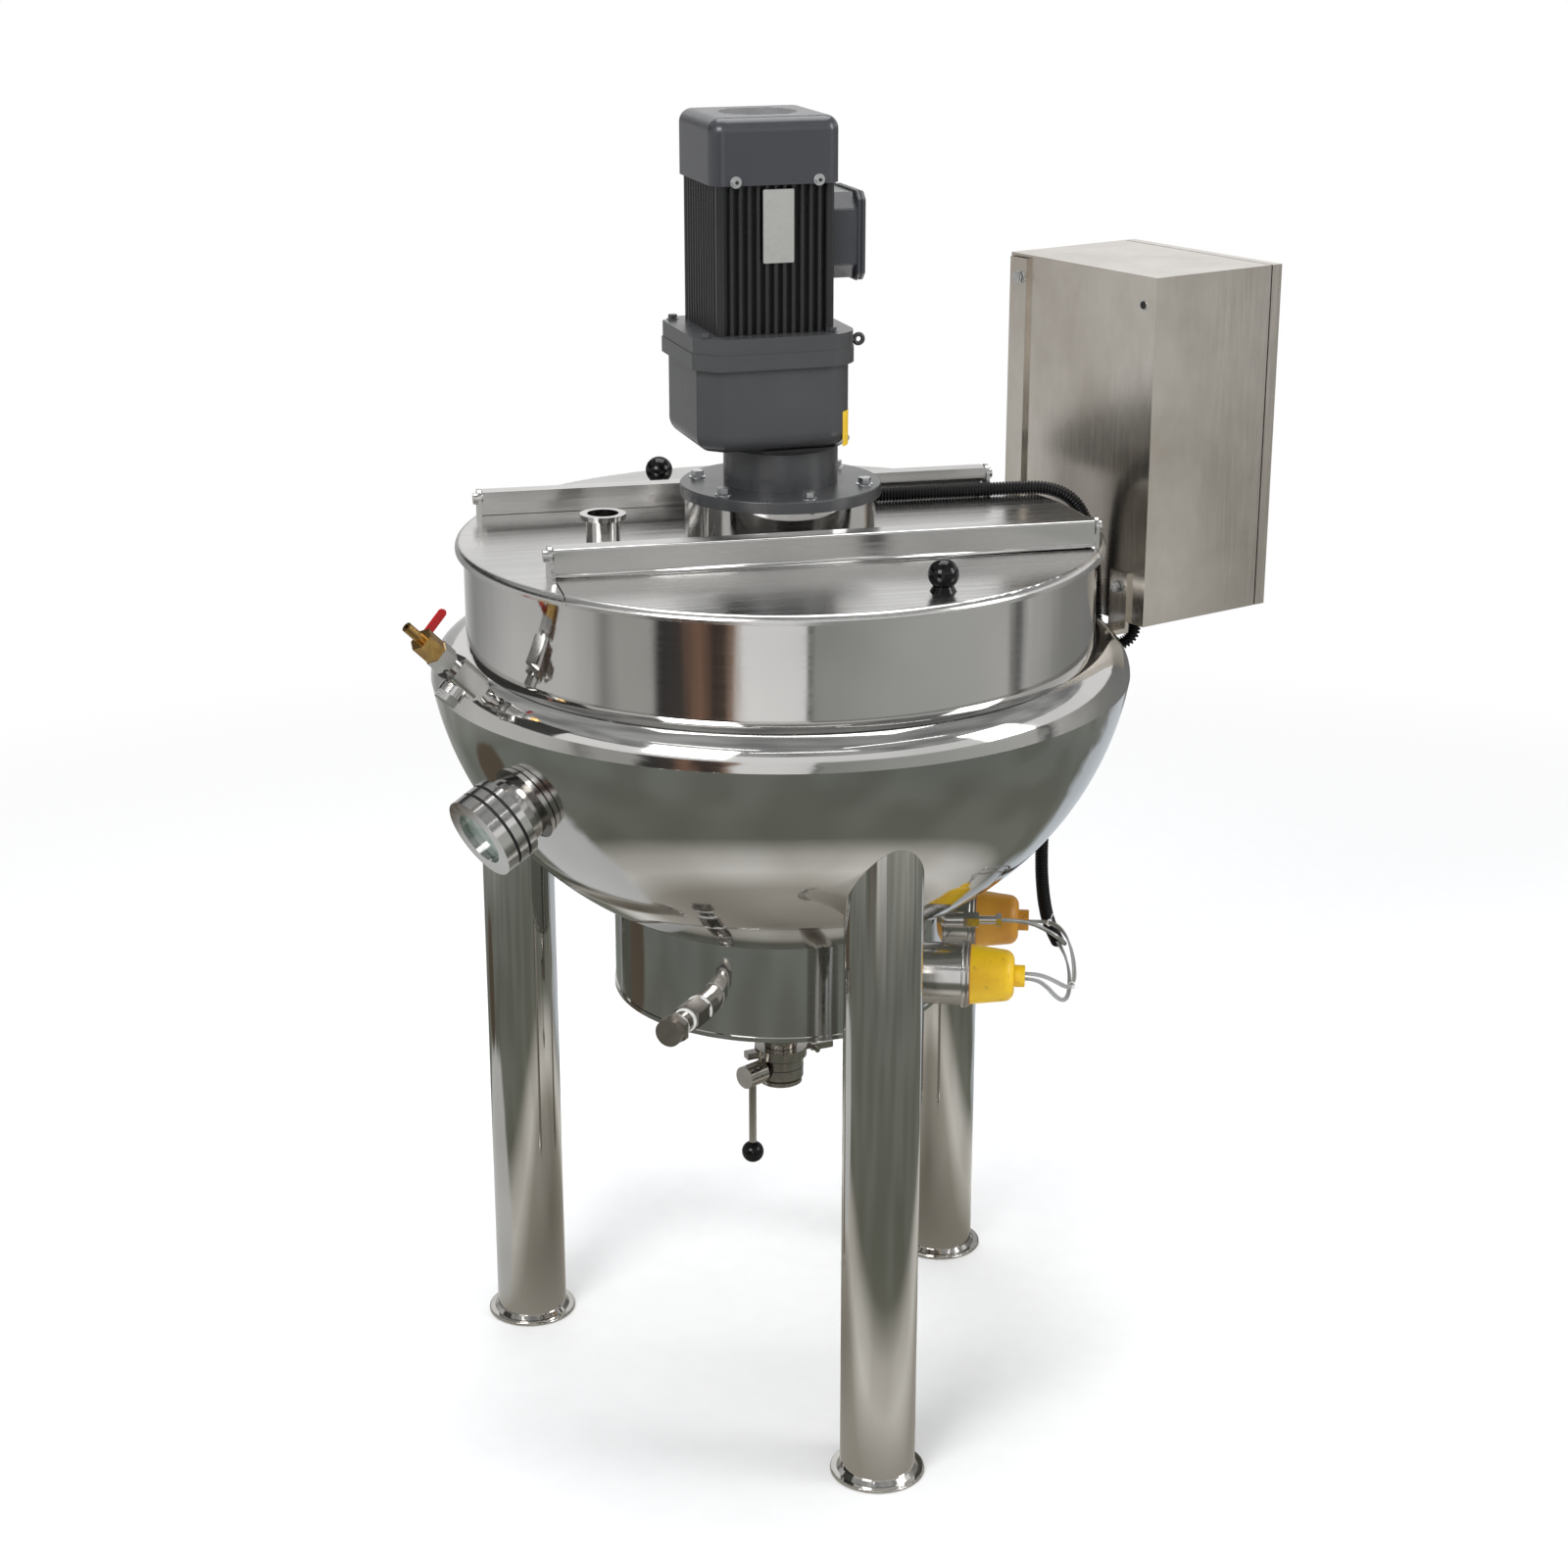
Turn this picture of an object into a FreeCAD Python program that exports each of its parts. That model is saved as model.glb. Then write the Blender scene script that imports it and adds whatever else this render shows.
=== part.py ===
import FreeCAD, Part
import math
import os

# Stirred jacketed kettle on three tubular legs, in millimetres.
# Everything is modelled about the kettle's own axis, with the floor at z = 0.
# The last step moves the whole assembly in plan, so that the origin lies on
# the floor at the centre of the box round the object.

# Rim and inner vessel
RIM_HEIGHT = 1003.0
WALL_RADIUS = 351.0
WALL_SHEET = 3.0
WALL_DEPTH = 117.0
INNER_EQUATOR_HEIGHT = RIM_HEIGHT - WALL_DEPTH

# Heating jacket
SEAM_DROP = 151.0
SEAM_HEIGHT = RIM_HEIGHT - SEAM_DROP
JACKET_SHEET = 3.0
BOWL_ARC_RADIUS = 364.5
BOWL_ARC_OFFSET = 32.0
BOWL_ARC_RISE = 59.0
BOWL_ARC_HEIGHT = SEAM_HEIGHT + BOWL_ARC_RISE

# Oil sump drum
DRUM_RADIUS = 192.0
DRUM_SHEET = 4.0
DRUM_BOTTOM_DROP = 379.0
DRUM_BOTTOM_HEIGHT = SEAM_HEIGHT - DRUM_BOTTOM_DROP
DRUM_PLATE = 5.0
DRUM_PLATE_LIP = 1.5

# Legs and feet
LEG_PITCH_RADIUS = 318.0
LEG_RADIUS = 42.0
LEG_SHEET = 2.5
LEG_ANGLES = (154.0, -83.0, 37.0)
FOOT_RADIUS = 53.0
FOOT_PLATE = 4.0
FOOT_WELD = 4.0

# Lid in three parts: a fixed bridge and two flip lids
LID_RADIUS = 360.0
LID_SHEET = 3.0
LID_LIP_DROP = 10.0
LID_EDGE_ROLL = 8.0
LID_SEAT_GAP = 0.3
PLATE_REACH = 40.0
BAR_END_DROP = 8.0
BAR_EDGE_ROLL = 2.7
SHAFT_HOLE_GAP = 6.0
BAR_FACE_Y = 153.0
BAR_HEIGHT = 31.0
BAR_DEPTH = 23.0
BAR_BACK_DROP = 12.0
BAR_LONG_END = 314.0
BAR_SHORT_END = 276.0
BRIDGE_EDGE_GAP = 2.0
END_GAP = 1.5
HINGE_INSET = 11.0
HINGE_RISE = 22.0
EAR_SHEET = 4.0
EAR_WIDTH = 22.0
CHEEK_FRONT = 34.0
CHEEK_BACK = 14.0
PIN_END_GAP = 3.0
PIN_RADIUS = 4.0
PIN_CLEARANCE = 0.08
PIN_HEAD_RADIUS = 6.5
PIN_HEAD = 4.5
KNOB_RADIUS = 16.0
KNOB_RISE = 18.0
KNOB_BASE_RADIUS = 14.0
KNOB_NECK_SHARE = 0.6
KNOB_NECK_DROP = 8.0
FRONT_KNOB = (104.0, -292.0)
BACK_KNOB = (-88.0, 262.0)

# Charging ferrule on the bridge
FERRULE_PLACE = (-198.0, 6.0)
FERRULE_TUBE_RADIUS = 19.0
FERRULE_BORE = 17.4
FERRULE_FLANGE_RADIUS = 25.25
FERRULE_FLANGE = 5.5
FERRULE_RISE = 30.0

# Drive: stool, flanged gear unit and motor
STOOL_RADIUS = 106.0
STOOL_SHEET = 6.0
STOOL_HEIGHT = 45.0
FLANGE_RADIUS = 111.0
FLANGE_THICKNESS = 13.0
FLANGE_FILLET = 1.5
BOSS_RADIUS = 63.0
BOSS_HEIGHT = 48.0
COLLAR_RADIUS = 76.0
COLLAR_HEIGHT = 7.0
DRIVE_TURN = 4.5
MOTOR_OFFSET_X = -25.0
GEAR_WIDTH = 172.0
GEAR_DEPTH = 157.0
GEAR_CHAMFER = 23.0
GEAR_CORNER = 34.0
GEAR_FILLET = 20.0
GEAR_HEIGHT = 91.0
COVER_OVERHANG = 6.0
COVER_LOWER = 17.0
COVER_UPPER = 17.0
COVER_SEAM = 1.0
EYE_ROD_RADIUS = 2.4
EYE_ROD_LENGTH = 10.0
EYE_RADIUS = 5.0
EYE_PLACE_Y = -22.0
STATOR_WIDTH = 130.0
STATOR_HEIGHT = 157.0
STATOR_CORNER = 15.0
RIB_DEPTH = 9.0
RIB_COUNT = 11
RIB_WIDTH = 3.2
RIB_EDGE = 2.0
FAN_WIDTH = 142.0
FAN_HEIGHT = 69.0
FAN_CORNER = 17.0
FAN_FILLET = 14.0
FAN_SHEET = 3.0
FAN_SLOT_COUNT = 7
FAN_SLOT_PITCH = 11.0
FAN_SLOT_WIDTH = 5.0
FAN_SLOT_RADIUS = 42.0
TERMINAL_DEPTH = 33.0
TERMINAL_WIDTH = 90.0
TERMINAL_RISE = 51.0
TERMINAL_HEIGHT = 91.0
TERMINAL_COVER = 8.0
TERMINAL_COVER_LIP = 2.0
TERMINAL_FILLET = 8.0
GLAND_RADIUS = 12.0
GLAND_LENGTH = 20.0
GLAND_BOTTOM_RISE = 24.0

# Stirrer
SHAFT_RADIUS = 19.0
ANCHOR_RADIUS = 315.0
ANCHOR_BAR = 14.0
ANCHOR_WIDTH = 26.0
ANCHOR_TOP_HEIGHT = 930.0

# Drain: pipe, clamp, butterfly valve
OUTLET_TUBE_RADIUS = 19.0
OUTLET_BORE = 17.4
OUTLET_FLANGE_RADIUS = 25.25
OUTLET_FLANGE = 5.0
OUTLET_DROP = 93.0
CLAMP_RADIUS = 31.0
CLAMP_ANGLE = 12.0
CLAMP_HALF_HEIGHT = 4.0
CLAMP_EYE = 14.0
CLAMP_EYE_HALF_WIDTH = 6.0
CLAMP_BOLT_RADIUS = 3.0
CLAMP_BOLT_LENGTH = 44.0
WING_LENGTH = 25.0
WING_SHEET = 4.0
VALVE_BODY_RADIUS = 27.0
VALVE_BODY_HEIGHT = 26.0
VALVE_TAIL = 13.0
VALVE_DISC = 3.0
VALVE_DISC_GAP = 0.6
VALVE_ANGLE = -148.0
STEM_RADIUS = 5.0
HUB_RADIUS = 13.5
HUB_START = 32.0
HUB_END = 60.0
LEVER_ROD_RADIUS = 4.5
LEVER_LENGTH = 99.0
LEVER_BALL_RADIUS = 13.0

# Oil nipple on the drum
NIPPLE_ANGLE = -128.0
NIPPLE_RISE = 40.0
NIPPLE_NECK = 24.0
NIPPLE_HEX_LENGTH = 30.0
NIPPLE_LENGTH = 80.0
NIPPLE_RADIUS = 12.0
NIPPLE_HEX = 14.5
NIPPLE_SHOULDER = 3.0
CAP_LENGTH = 18.0
CAP_RADIUS = 15.5

# Electric heaters
HEATER_ANGLE = -19.0
HEATER_SPREAD = 87.0
HEATER_RISE = 48.0
HEATER_ROOT = 60.0
HEATER_TUBE_RADIUS = 35.0
HEATER_TUBE_SHEET = 3.0
HEATER_REACH = 216.0
HEATER_FLANGE = 8.0
HEATER_FLANGE_RADIUS = 37.5
HEATER_FLANGE_STEP = 1.5
HEATER_CAP_RADIUS = 34.0
HEATER_CAP_LENGTH = 50.0
HEATER_CAP_TAPER = 6.0
HEATER_CAP_ROUND = 12.0
SPOUT_RADIUS = 12.5
SPOUT_LENGTH = 11.0

# Oil probe on the drum between the heaters
PROBE_ANGLE = -14.0
PROBE_RISE = 72.0
PROBE_BOSS_RADIUS = 9.0
PROBE_BOSS_LENGTH = 20.0
PROBE_HEX = 8.5
PROBE_HEX_LENGTH = 18.0
PROBE_TUBE_RADIUS = 5.0
PROBE_TUBE_LENGTH = 26.0
PROBE_NUT = 7.5
PROBE_NUT_LENGTH = 6.0

# Sight glass on the bowl
SIGHT_ANGLE = 206.0
SIGHT_DIP = -25.0
SIGHT_RING_RADIUS = 47.0
SIGHT_BORE = 31.0
SIGHT_NECK_RADIUS = 38.0
SIGHT_NECK_LENGTH = 10.0
SIGHT_NECK_ROOT = 25.0
SIGHT_FLANGE = 9.0
SIGHT_GASKET = 3.5
SIGHT_MIDDLE = 11.0
SIGHT_BEZEL = 14.0
SIGHT_GLASS = 10.0

# Vent fitting on the shoulder
VENT_ANGLE = 203.0
VENT_NIPPLE_RADIUS = 9.0
VENT_NIPPLE_LENGTH = 22.0
VENT_HEX = 13.0
VENT_BLOCK = 30.0
VENT_BLOCK_LENGTH = 36.0
VENT_PLUG_RADIUS = 14.0
VENT_PLUG_LENGTH = 20.0
VENT_UNION_LENGTH = 26.0
BRASS_HEX = 12.0
BRASS_LENGTH = 24.0
BARB_RADIUS = 5.5
BARB_BORE = 2.5
BARB_LENGTH = 22.0
VENT_LEVER_LENGTH = 38.0
VENT_LEVER_WIDTH = 9.0
VENT_LEVER_SHEET = 3.0
VENT_STEM_RADIUS = 4.0
VENT_STEM_LENGTH = 3.0
VENT_LEVER_GAP = 0.3

# Control cabinet
CABINET_ANGLE = 22.0
CABINET_REACH = 428.0
CABINET_WIDTH = 258.0
CABINET_DEPTH = 178.0
CABINET_HEIGHT = 408.0
CABINET_RISE = 5.0
CABINET_BOTTOM_HEIGHT = SEAM_HEIGHT + CABINET_RISE
CABINET_HOLE_RADIUS = 3.5
CABINET_HOLE_EDGE = 21.0
CABINET_HOLE_DROP = 33.0
CABINET_SHEET = 2.0
CABINET_RETURN = 14.0
DOOR_GAP = 2.0
DOOR_DEPTH = 15.0
DOOR_SHEET = 2.0
DOOR_HINGE_RADIUS = 4.5
DOOR_HINGE_LENGTH = 24.0
DOOR_HINGE_LEAF = 1.5
DOOR_HINGE_STANDOFF = 5.0
DOOR_HINGE_HEIGHTS = (60.0, 300.0)
DOOR_HINGE_GAP = 0.3
DOOR_HINGE_SLOT = 1.5
DOOR_HINGE_WEB = 4.0
SHELL_LEAF = 20.0
DOOR_LEAF = 15.0
DOOR_PIN_END = 2.0
DOOR_PIN_RADIUS = 2.5
DOOR_LOCK_RADIUS = 10.0
DOOR_LOCK_DEPTH = 4.0
DOOR_LOCK_EDGE = 20.0
PANEL_SHEET = 3.0
PANEL_STANDOFF = 12.0
PANEL_MARGIN = 22.0
PANEL_END_MARGIN = 25.0
POST_RADIUS = 5.0
POST_EDGE = 12.0
POST_END = 40.0
STRAP_WIDTH = 30.0
STRAP_SHEET = 5.0
STRAP_EDGE = 4.0
SHORT_STRAP_EDGE = 25.0
SHORT_STRAP_TOP = 60.0
BRACKET_DROP = 12.0
BRACKET_SHEET = 6.0

# Cords
CONDUIT_RADIUS = 8.0
LEAD_RADIUS = 2.6
CORD_NODES = ("motor_conduit", "heater_conduit", "heater_leads")

X_AXIS = FreeCAD.Vector(1, 0, 0)
Y_AXIS = FreeCAD.Vector(0, 1, 0)
Z_AXIS = FreeCAD.Vector(0, 0, 1)
ORIGIN = FreeCAD.Vector(0, 0, 0)

LID_TOP_HEIGHT = RIM_HEIGHT + LID_SHEET
HINGE_HEIGHT = LID_TOP_HEIGHT + HINGE_RISE
HINGE_Y = BAR_FACE_Y - HINGE_INSET
FERRULE_TOP_HEIGHT = LID_TOP_HEIGHT + FERRULE_RISE
FLANGE_UNDER_HEIGHT = LID_TOP_HEIGHT + STOOL_HEIGHT
BOSS_TOP_HEIGHT = FLANGE_UNDER_HEIGHT + FLANGE_THICKNESS + BOSS_HEIGHT
GEAR_TOP_HEIGHT = BOSS_TOP_HEIGHT + GEAR_HEIGHT
COVER_TOP_HEIGHT = GEAR_TOP_HEIGHT + COVER_LOWER + COVER_UPPER
STATOR_TOP_HEIGHT = COVER_TOP_HEIGHT + STATOR_HEIGHT
FAN_TOP_HEIGHT = STATOR_TOP_HEIGHT + FAN_HEIGHT
TERMINAL_BOTTOM_HEIGHT = COVER_TOP_HEIGHT + TERMINAL_RISE
TERMINAL_TOP_HEIGHT = TERMINAL_BOTTOM_HEIGHT + TERMINAL_HEIGHT
OUTLET_PIPE_END = DRUM_BOTTOM_HEIGHT - OUTLET_DROP
NIPPLE_HEIGHT = DRUM_BOTTOM_HEIGHT + NIPPLE_RISE
HEATER_HEIGHT = DRUM_BOTTOM_HEIGHT + HEATER_RISE
PROBE_HEIGHT = DRUM_BOTTOM_HEIGHT + PROBE_RISE


def point(x, y, z):
    return FreeCAD.Vector(x, y, z)


def polar(radius, angle, height=0.0):
    turn = math.radians(angle)
    return FreeCAD.Vector(radius * math.cos(turn), radius * math.sin(turn), height)


def disc(radius, bottom, top, x=0.0, y=0.0):
    return Part.makeCylinder(radius, top - bottom, point(x, y, bottom))


def ring(outer, inner, bottom, top, x=0.0, y=0.0):
    return disc(outer, bottom, top, x, y).cut(disc(inner, bottom, top, x, y))


def block(x0, x1, y0, y1, z0, z1):
    return Part.makeBox(x1 - x0, y1 - y0, z1 - z0, point(x0, y0, z0))


def arc_point(centre_r, centre_z, radius, angle):
    turn = math.radians(angle)
    return point(centre_r + radius * math.cos(turn), 0, centre_z + radius * math.sin(turn))


def arc_edge(centre_r, centre_z, radius, start, end):
    a = arc_point(centre_r, centre_z, radius, start)
    b = arc_point(centre_r, centre_z, radius, (start + end) / 2.0)
    c = arc_point(centre_r, centre_z, radius, end)
    return Part.Arc(a, b, c).toShape()


def revolve(edges):
    wire = Part.Wire(Part.__sortEdges__(edges))
    solid = Part.Face(wire).revolve(ORIGIN, Z_AXIS, 360)
    return tidy(solid)


def tidy(shape):
    if shape.Volume < 0:
        shape.reverse()
    return shape


def line(a, b):
    return Part.LineSegment(a, b).toShape()


def hexagon(flats, bottom, top):
    corners = []
    for step in range(7):
        corners.append(polar(flats / math.cos(math.radians(30)), 60 * step, bottom))
    return Part.Face(Part.makePolygon(corners)).extrude(point(0, 0, top - bottom))


def aim(shape, base, angle, rise):
    """Turns a shape built up +Z so that it points along a bearing and rise."""
    turned = shape.copy()
    turned.rotate(ORIGIN, Y_AXIS, 90.0 - rise)
    turned.rotate(ORIGIN, Z_AXIS, angle)
    turned.translate(base)
    return turned


def mirror_half_turn(shape):
    """Copies a front piece to the back by a half turn about the kettle axis."""
    turned = shape.copy()
    turned.rotate(ORIGIN, Z_AXIS, 180)
    return turned


def rounded_block(width, depth, bottom, top, corner, x=0.0, y=0.0):
    solid = block(x - width / 2, x + width / 2, y - depth / 2, y + depth / 2, bottom, top)
    uprights = [e for e in solid.Edges if abs(e.Vertexes[0].X - e.Vertexes[1].X) < 1e-6
                and abs(e.Vertexes[0].Y - e.Vertexes[1].Y) < 1e-6]
    return solid.makeFillet(corner, uprights)


def top_edges(solid, height):
    return [e for e in solid.Edges if all(abs(v.Z - height) < 1e-6 for v in e.Vertexes)]


# Vessel

def bowl_radius(height, inset=0.0):
    """Radius of the bowl's outer face, or of its inner face with the sheet as inset."""
    radius = BOWL_ARC_RADIUS - inset
    return BOWL_ARC_OFFSET + math.sqrt(radius ** 2 - (BOWL_ARC_HEIGHT - height) ** 2)


def bowl_height(radius, inset=0.0):
    arc = BOWL_ARC_RADIUS - inset
    return BOWL_ARC_HEIGHT - math.sqrt(arc ** 2 - (radius - BOWL_ARC_OFFSET) ** 2)


DRUM_TOP_HEIGHT = bowl_height(DRUM_RADIUS)
SEAM_RADIUS = bowl_radius(SEAM_HEIGHT)
SHOULDER_RADIUS = SEAM_RADIUS - WALL_RADIUS


def bowl_angle(height, inset=0.0):
    radius = BOWL_ARC_RADIUS - inset
    return -math.degrees(math.asin((BOWL_ARC_HEIGHT - height) / radius))


def bowl_arc(inset, bottom, top):
    radius = BOWL_ARC_RADIUS - inset
    return arc_edge(BOWL_ARC_OFFSET, BOWL_ARC_HEIGHT, radius,
                    bowl_angle(bottom, inset), bowl_angle(top, inset))


def jacket_bowl():
    outer = bowl_arc(0.0, DRUM_TOP_HEIGHT, SEAM_HEIGHT)
    inner = bowl_arc(JACKET_SHEET, DRUM_TOP_HEIGHT, SEAM_HEIGHT)
    low_out = point(bowl_radius(DRUM_TOP_HEIGHT), 0, DRUM_TOP_HEIGHT)
    low_in = point(bowl_radius(DRUM_TOP_HEIGHT, JACKET_SHEET), 0, DRUM_TOP_HEIGHT)
    high_out = point(bowl_radius(SEAM_HEIGHT), 0, SEAM_HEIGHT)
    high_in = point(bowl_radius(SEAM_HEIGHT, JACKET_SHEET), 0, SEAM_HEIGHT)
    return revolve([outer, line(high_out, high_in), inner, line(low_in, low_out)])


def bowl_core():
    """The bowl as a filled form, to cut what is welded to its outside."""
    outer = bowl_arc(0.0, DRUM_TOP_HEIGHT, SEAM_HEIGHT)
    low = point(0, 0, DRUM_TOP_HEIGHT)
    high = point(0, 0, SEAM_HEIGHT)
    low_out = point(bowl_radius(DRUM_TOP_HEIGHT), 0, DRUM_TOP_HEIGHT)
    high_out = point(bowl_radius(SEAM_HEIGHT), 0, SEAM_HEIGHT)
    return revolve([outer, line(high_out, high), line(high, low), line(low, low_out)])


def shoulder_profile(inner_radius):
    outer = arc_edge(WALL_RADIUS, SEAM_HEIGHT, SHOULDER_RADIUS, 0, 90)
    if inner_radius <= 0:
        a = point(WALL_RADIUS, 0, SEAM_HEIGHT + SHOULDER_RADIUS)
        b = point(WALL_RADIUS, 0, SEAM_HEIGHT)
        c = point(SEAM_RADIUS, 0, SEAM_HEIGHT)
        return [outer, line(a, b), line(b, c)]
    inner = arc_edge(WALL_RADIUS, SEAM_HEIGHT, inner_radius, 0, 90)
    a = point(WALL_RADIUS, 0, SEAM_HEIGHT + SHOULDER_RADIUS)
    b = point(WALL_RADIUS, 0, SEAM_HEIGHT + inner_radius)
    c = point(SEAM_RADIUS, 0, SEAM_HEIGHT)
    d = point(WALL_RADIUS + inner_radius, 0, SEAM_HEIGHT)
    return [outer, line(a, b), inner, line(d, c)]


def jacket_shoulder():
    return revolve(shoulder_profile(SHOULDER_RADIUS - JACKET_SHEET))


def kettle_wall():
    return ring(WALL_RADIUS, WALL_RADIUS - WALL_SHEET, INNER_EQUATOR_HEIGHT, RIM_HEIGHT)


def inner_bowl():
    inner_radius = WALL_RADIUS - WALL_SHEET
    outer = arc_edge(0, INNER_EQUATOR_HEIGHT, WALL_RADIUS, -90, 0)
    inner = arc_edge(0, INNER_EQUATOR_HEIGHT, inner_radius, -90, 0)
    top = line(point(WALL_RADIUS, 0, INNER_EQUATOR_HEIGHT),
               point(inner_radius, 0, INNER_EQUATOR_HEIGHT))
    axis = line(point(0, 0, INNER_EQUATOR_HEIGHT - WALL_RADIUS),
                point(0, 0, INNER_EQUATOR_HEIGHT - inner_radius))
    shell = revolve([outer, top, inner, axis])
    drain = disc(OUTLET_TUBE_RADIUS, INNER_EQUATOR_HEIGHT - WALL_RADIUS - 20,
                 INNER_EQUATOR_HEIGHT - inner_radius + 20)
    return shell.cut(drain)


def drum_wall():
    wall = ring(DRUM_RADIUS, DRUM_RADIUS - DRUM_SHEET,
                DRUM_BOTTOM_HEIGHT + DRUM_PLATE, DRUM_TOP_HEIGHT)
    for side in (-1, 1):
        wall = wall.cut(heater_bore(side))
    return wall


def drum_bottom():
    plate = disc(DRUM_RADIUS + DRUM_PLATE_LIP, DRUM_BOTTOM_HEIGHT,
                 DRUM_BOTTOM_HEIGHT + DRUM_PLATE)
    return plate.cut(disc(OUTLET_TUBE_RADIUS, DRUM_BOTTOM_HEIGHT - 1,
                          DRUM_BOTTOM_HEIGHT + DRUM_PLATE + 1))


# Legs

def leg(angle):
    """Tube cut to the bowl's curve at the top, welded to its foot disc."""
    place = polar(LEG_PITCH_RADIUS, angle)
    tube = ring(LEG_RADIUS, LEG_RADIUS - LEG_SHEET, FOOT_PLATE, SEAM_HEIGHT - 1,
                place.x, place.y)
    cut = tube.cut(bowl_core())
    upright = min(cut.Solids, key=lambda s: s.BoundBox.ZMin)
    return upright.fuse(foot(place)).removeSplitter()


def foot(place):
    plate = disc(FOOT_RADIUS, 0, FOOT_PLATE, place.x, place.y)
    rim = [e for e in plate.Edges if abs(e.BoundBox.ZMin - FOOT_PLATE) < 1e-6]
    plate = plate.makeFillet(FOOT_PLATE * 0.4, rim)
    weld = Part.makeCone(LEG_RADIUS + FOOT_WELD, LEG_RADIUS, FOOT_WELD,
                         point(place.x, place.y, FOOT_PLATE))
    weld = weld.cut(disc(LEG_RADIUS, FOOT_PLATE, FOOT_PLATE + FOOT_WELD, place.x, place.y))
    return plate.fuse(weld)


# Lid

def lid_plate():
    """Whole lid as one pressed sheet: flat top, rolled edge and short lip."""
    flat = LID_RADIUS - LID_EDGE_ROLL
    top = LID_TOP_HEIGHT
    lip_low = top - LID_LIP_DROP
    inner_roll = LID_EDGE_ROLL - LID_SHEET
    edges = [
        line(point(0, 0, top), point(flat, 0, top)),
        arc_edge(flat, top - LID_EDGE_ROLL, LID_EDGE_ROLL, 90, 0),
        line(point(LID_RADIUS, 0, top - LID_EDGE_ROLL), point(LID_RADIUS, 0, lip_low)),
        line(point(LID_RADIUS, 0, lip_low), point(LID_RADIUS - LID_SHEET, 0, lip_low)),
        line(point(LID_RADIUS - LID_SHEET, 0, lip_low),
             point(LID_RADIUS - LID_SHEET, 0, top - LID_EDGE_ROLL)),
        arc_edge(flat, top - LID_EDGE_ROLL, inner_roll, 0, 90),
        line(point(flat, 0, top - LID_SHEET), point(0, 0, top - LID_SHEET)),
        line(point(0, 0, top - LID_SHEET), point(0, 0, top)),
    ]
    return revolve(edges)


def front_region(grow):
    """Plan of the front flip lid, with the seat gap or grown by the bridge gap."""
    reach = LID_RADIUS + PLATE_REACH
    return block(-BAR_SHORT_END - grow, BAR_LONG_END + grow, -reach, -BAR_FACE_Y + grow,
                 RIM_HEIGHT - PLATE_REACH, LID_TOP_HEIGHT + PLATE_REACH)


def lid_bridge():
    plate = lid_plate()
    gap = BRIDGE_EDGE_GAP + LID_SHEET
    opening = front_region(END_GAP)
    inward = block(-BAR_SHORT_END - END_GAP, BAR_LONG_END + END_GAP, -BAR_FACE_Y - 1,
                   -BAR_FACE_Y + gap, RIM_HEIGHT - PLATE_REACH,
                   LID_TOP_HEIGHT + PLATE_REACH)
    opening = opening.fuse(inward)
    plate = plate.cut(opening).cut(mirror_half_turn(opening))
    plate = plate.cut(disc(FERRULE_BORE, RIM_HEIGHT - 1, LID_TOP_HEIGHT + 1, *FERRULE_PLACE))
    return plate.cut(disc(SHAFT_RADIUS + SHAFT_HOLE_GAP, RIM_HEIGHT - 1, LID_TOP_HEIGHT + 1))


def flip_lid():
    """Front flip lid: plate, lip, and the straight edge bent up into a hinge bar."""
    plate = lid_plate().common(front_region(0.0))
    plate.translate(point(0, 0, LID_SEAT_GAP))
    low = RIM_HEIGHT + LID_SEAT_GAP
    top = LID_TOP_HEIGHT + BAR_HEIGHT
    y0 = -BAR_FACE_Y
    y1 = y0 + BAR_DEPTH
    x0 = -BAR_SHORT_END
    x1 = BAR_LONG_END
    face = block(x0, x1, y0, y0 + LID_SHEET, low, top)
    cap = block(x0, x1, y0, y1, top - LID_SHEET, top)
    back = block(x0, x1, y1 - LID_SHEET, y1, top - BAR_BACK_DROP, top)
    end_drop = HINGE_HEIGHT - BAR_END_DROP
    left = block(x0, x0 + LID_SHEET, y0, y1, end_drop, top)
    right = block(x1 - LID_SHEET, x1, y0, y1, end_drop, top)
    bar = face.fuse([cap, back, left, right])
    solid = plate.fuse(bar)
    outer = [e for e in solid.Edges
             if all(abs(v.Z - top) < 1e-6 and abs(v.Y - y0) < 1e-6 for v in e.Vertexes)]
    if outer:
        solid = solid.makeFillet(BAR_EDGE_ROLL, outer)
    bore = Part.makeCylinder(PIN_RADIUS + PIN_CLEARANCE, x1 - x0 + 2 * LID_SHEET,
                             point(x0 - LID_SHEET, -HINGE_Y, HINGE_HEIGHT), X_AXIS)
    return solid.cut(bore).removeSplitter()


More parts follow.
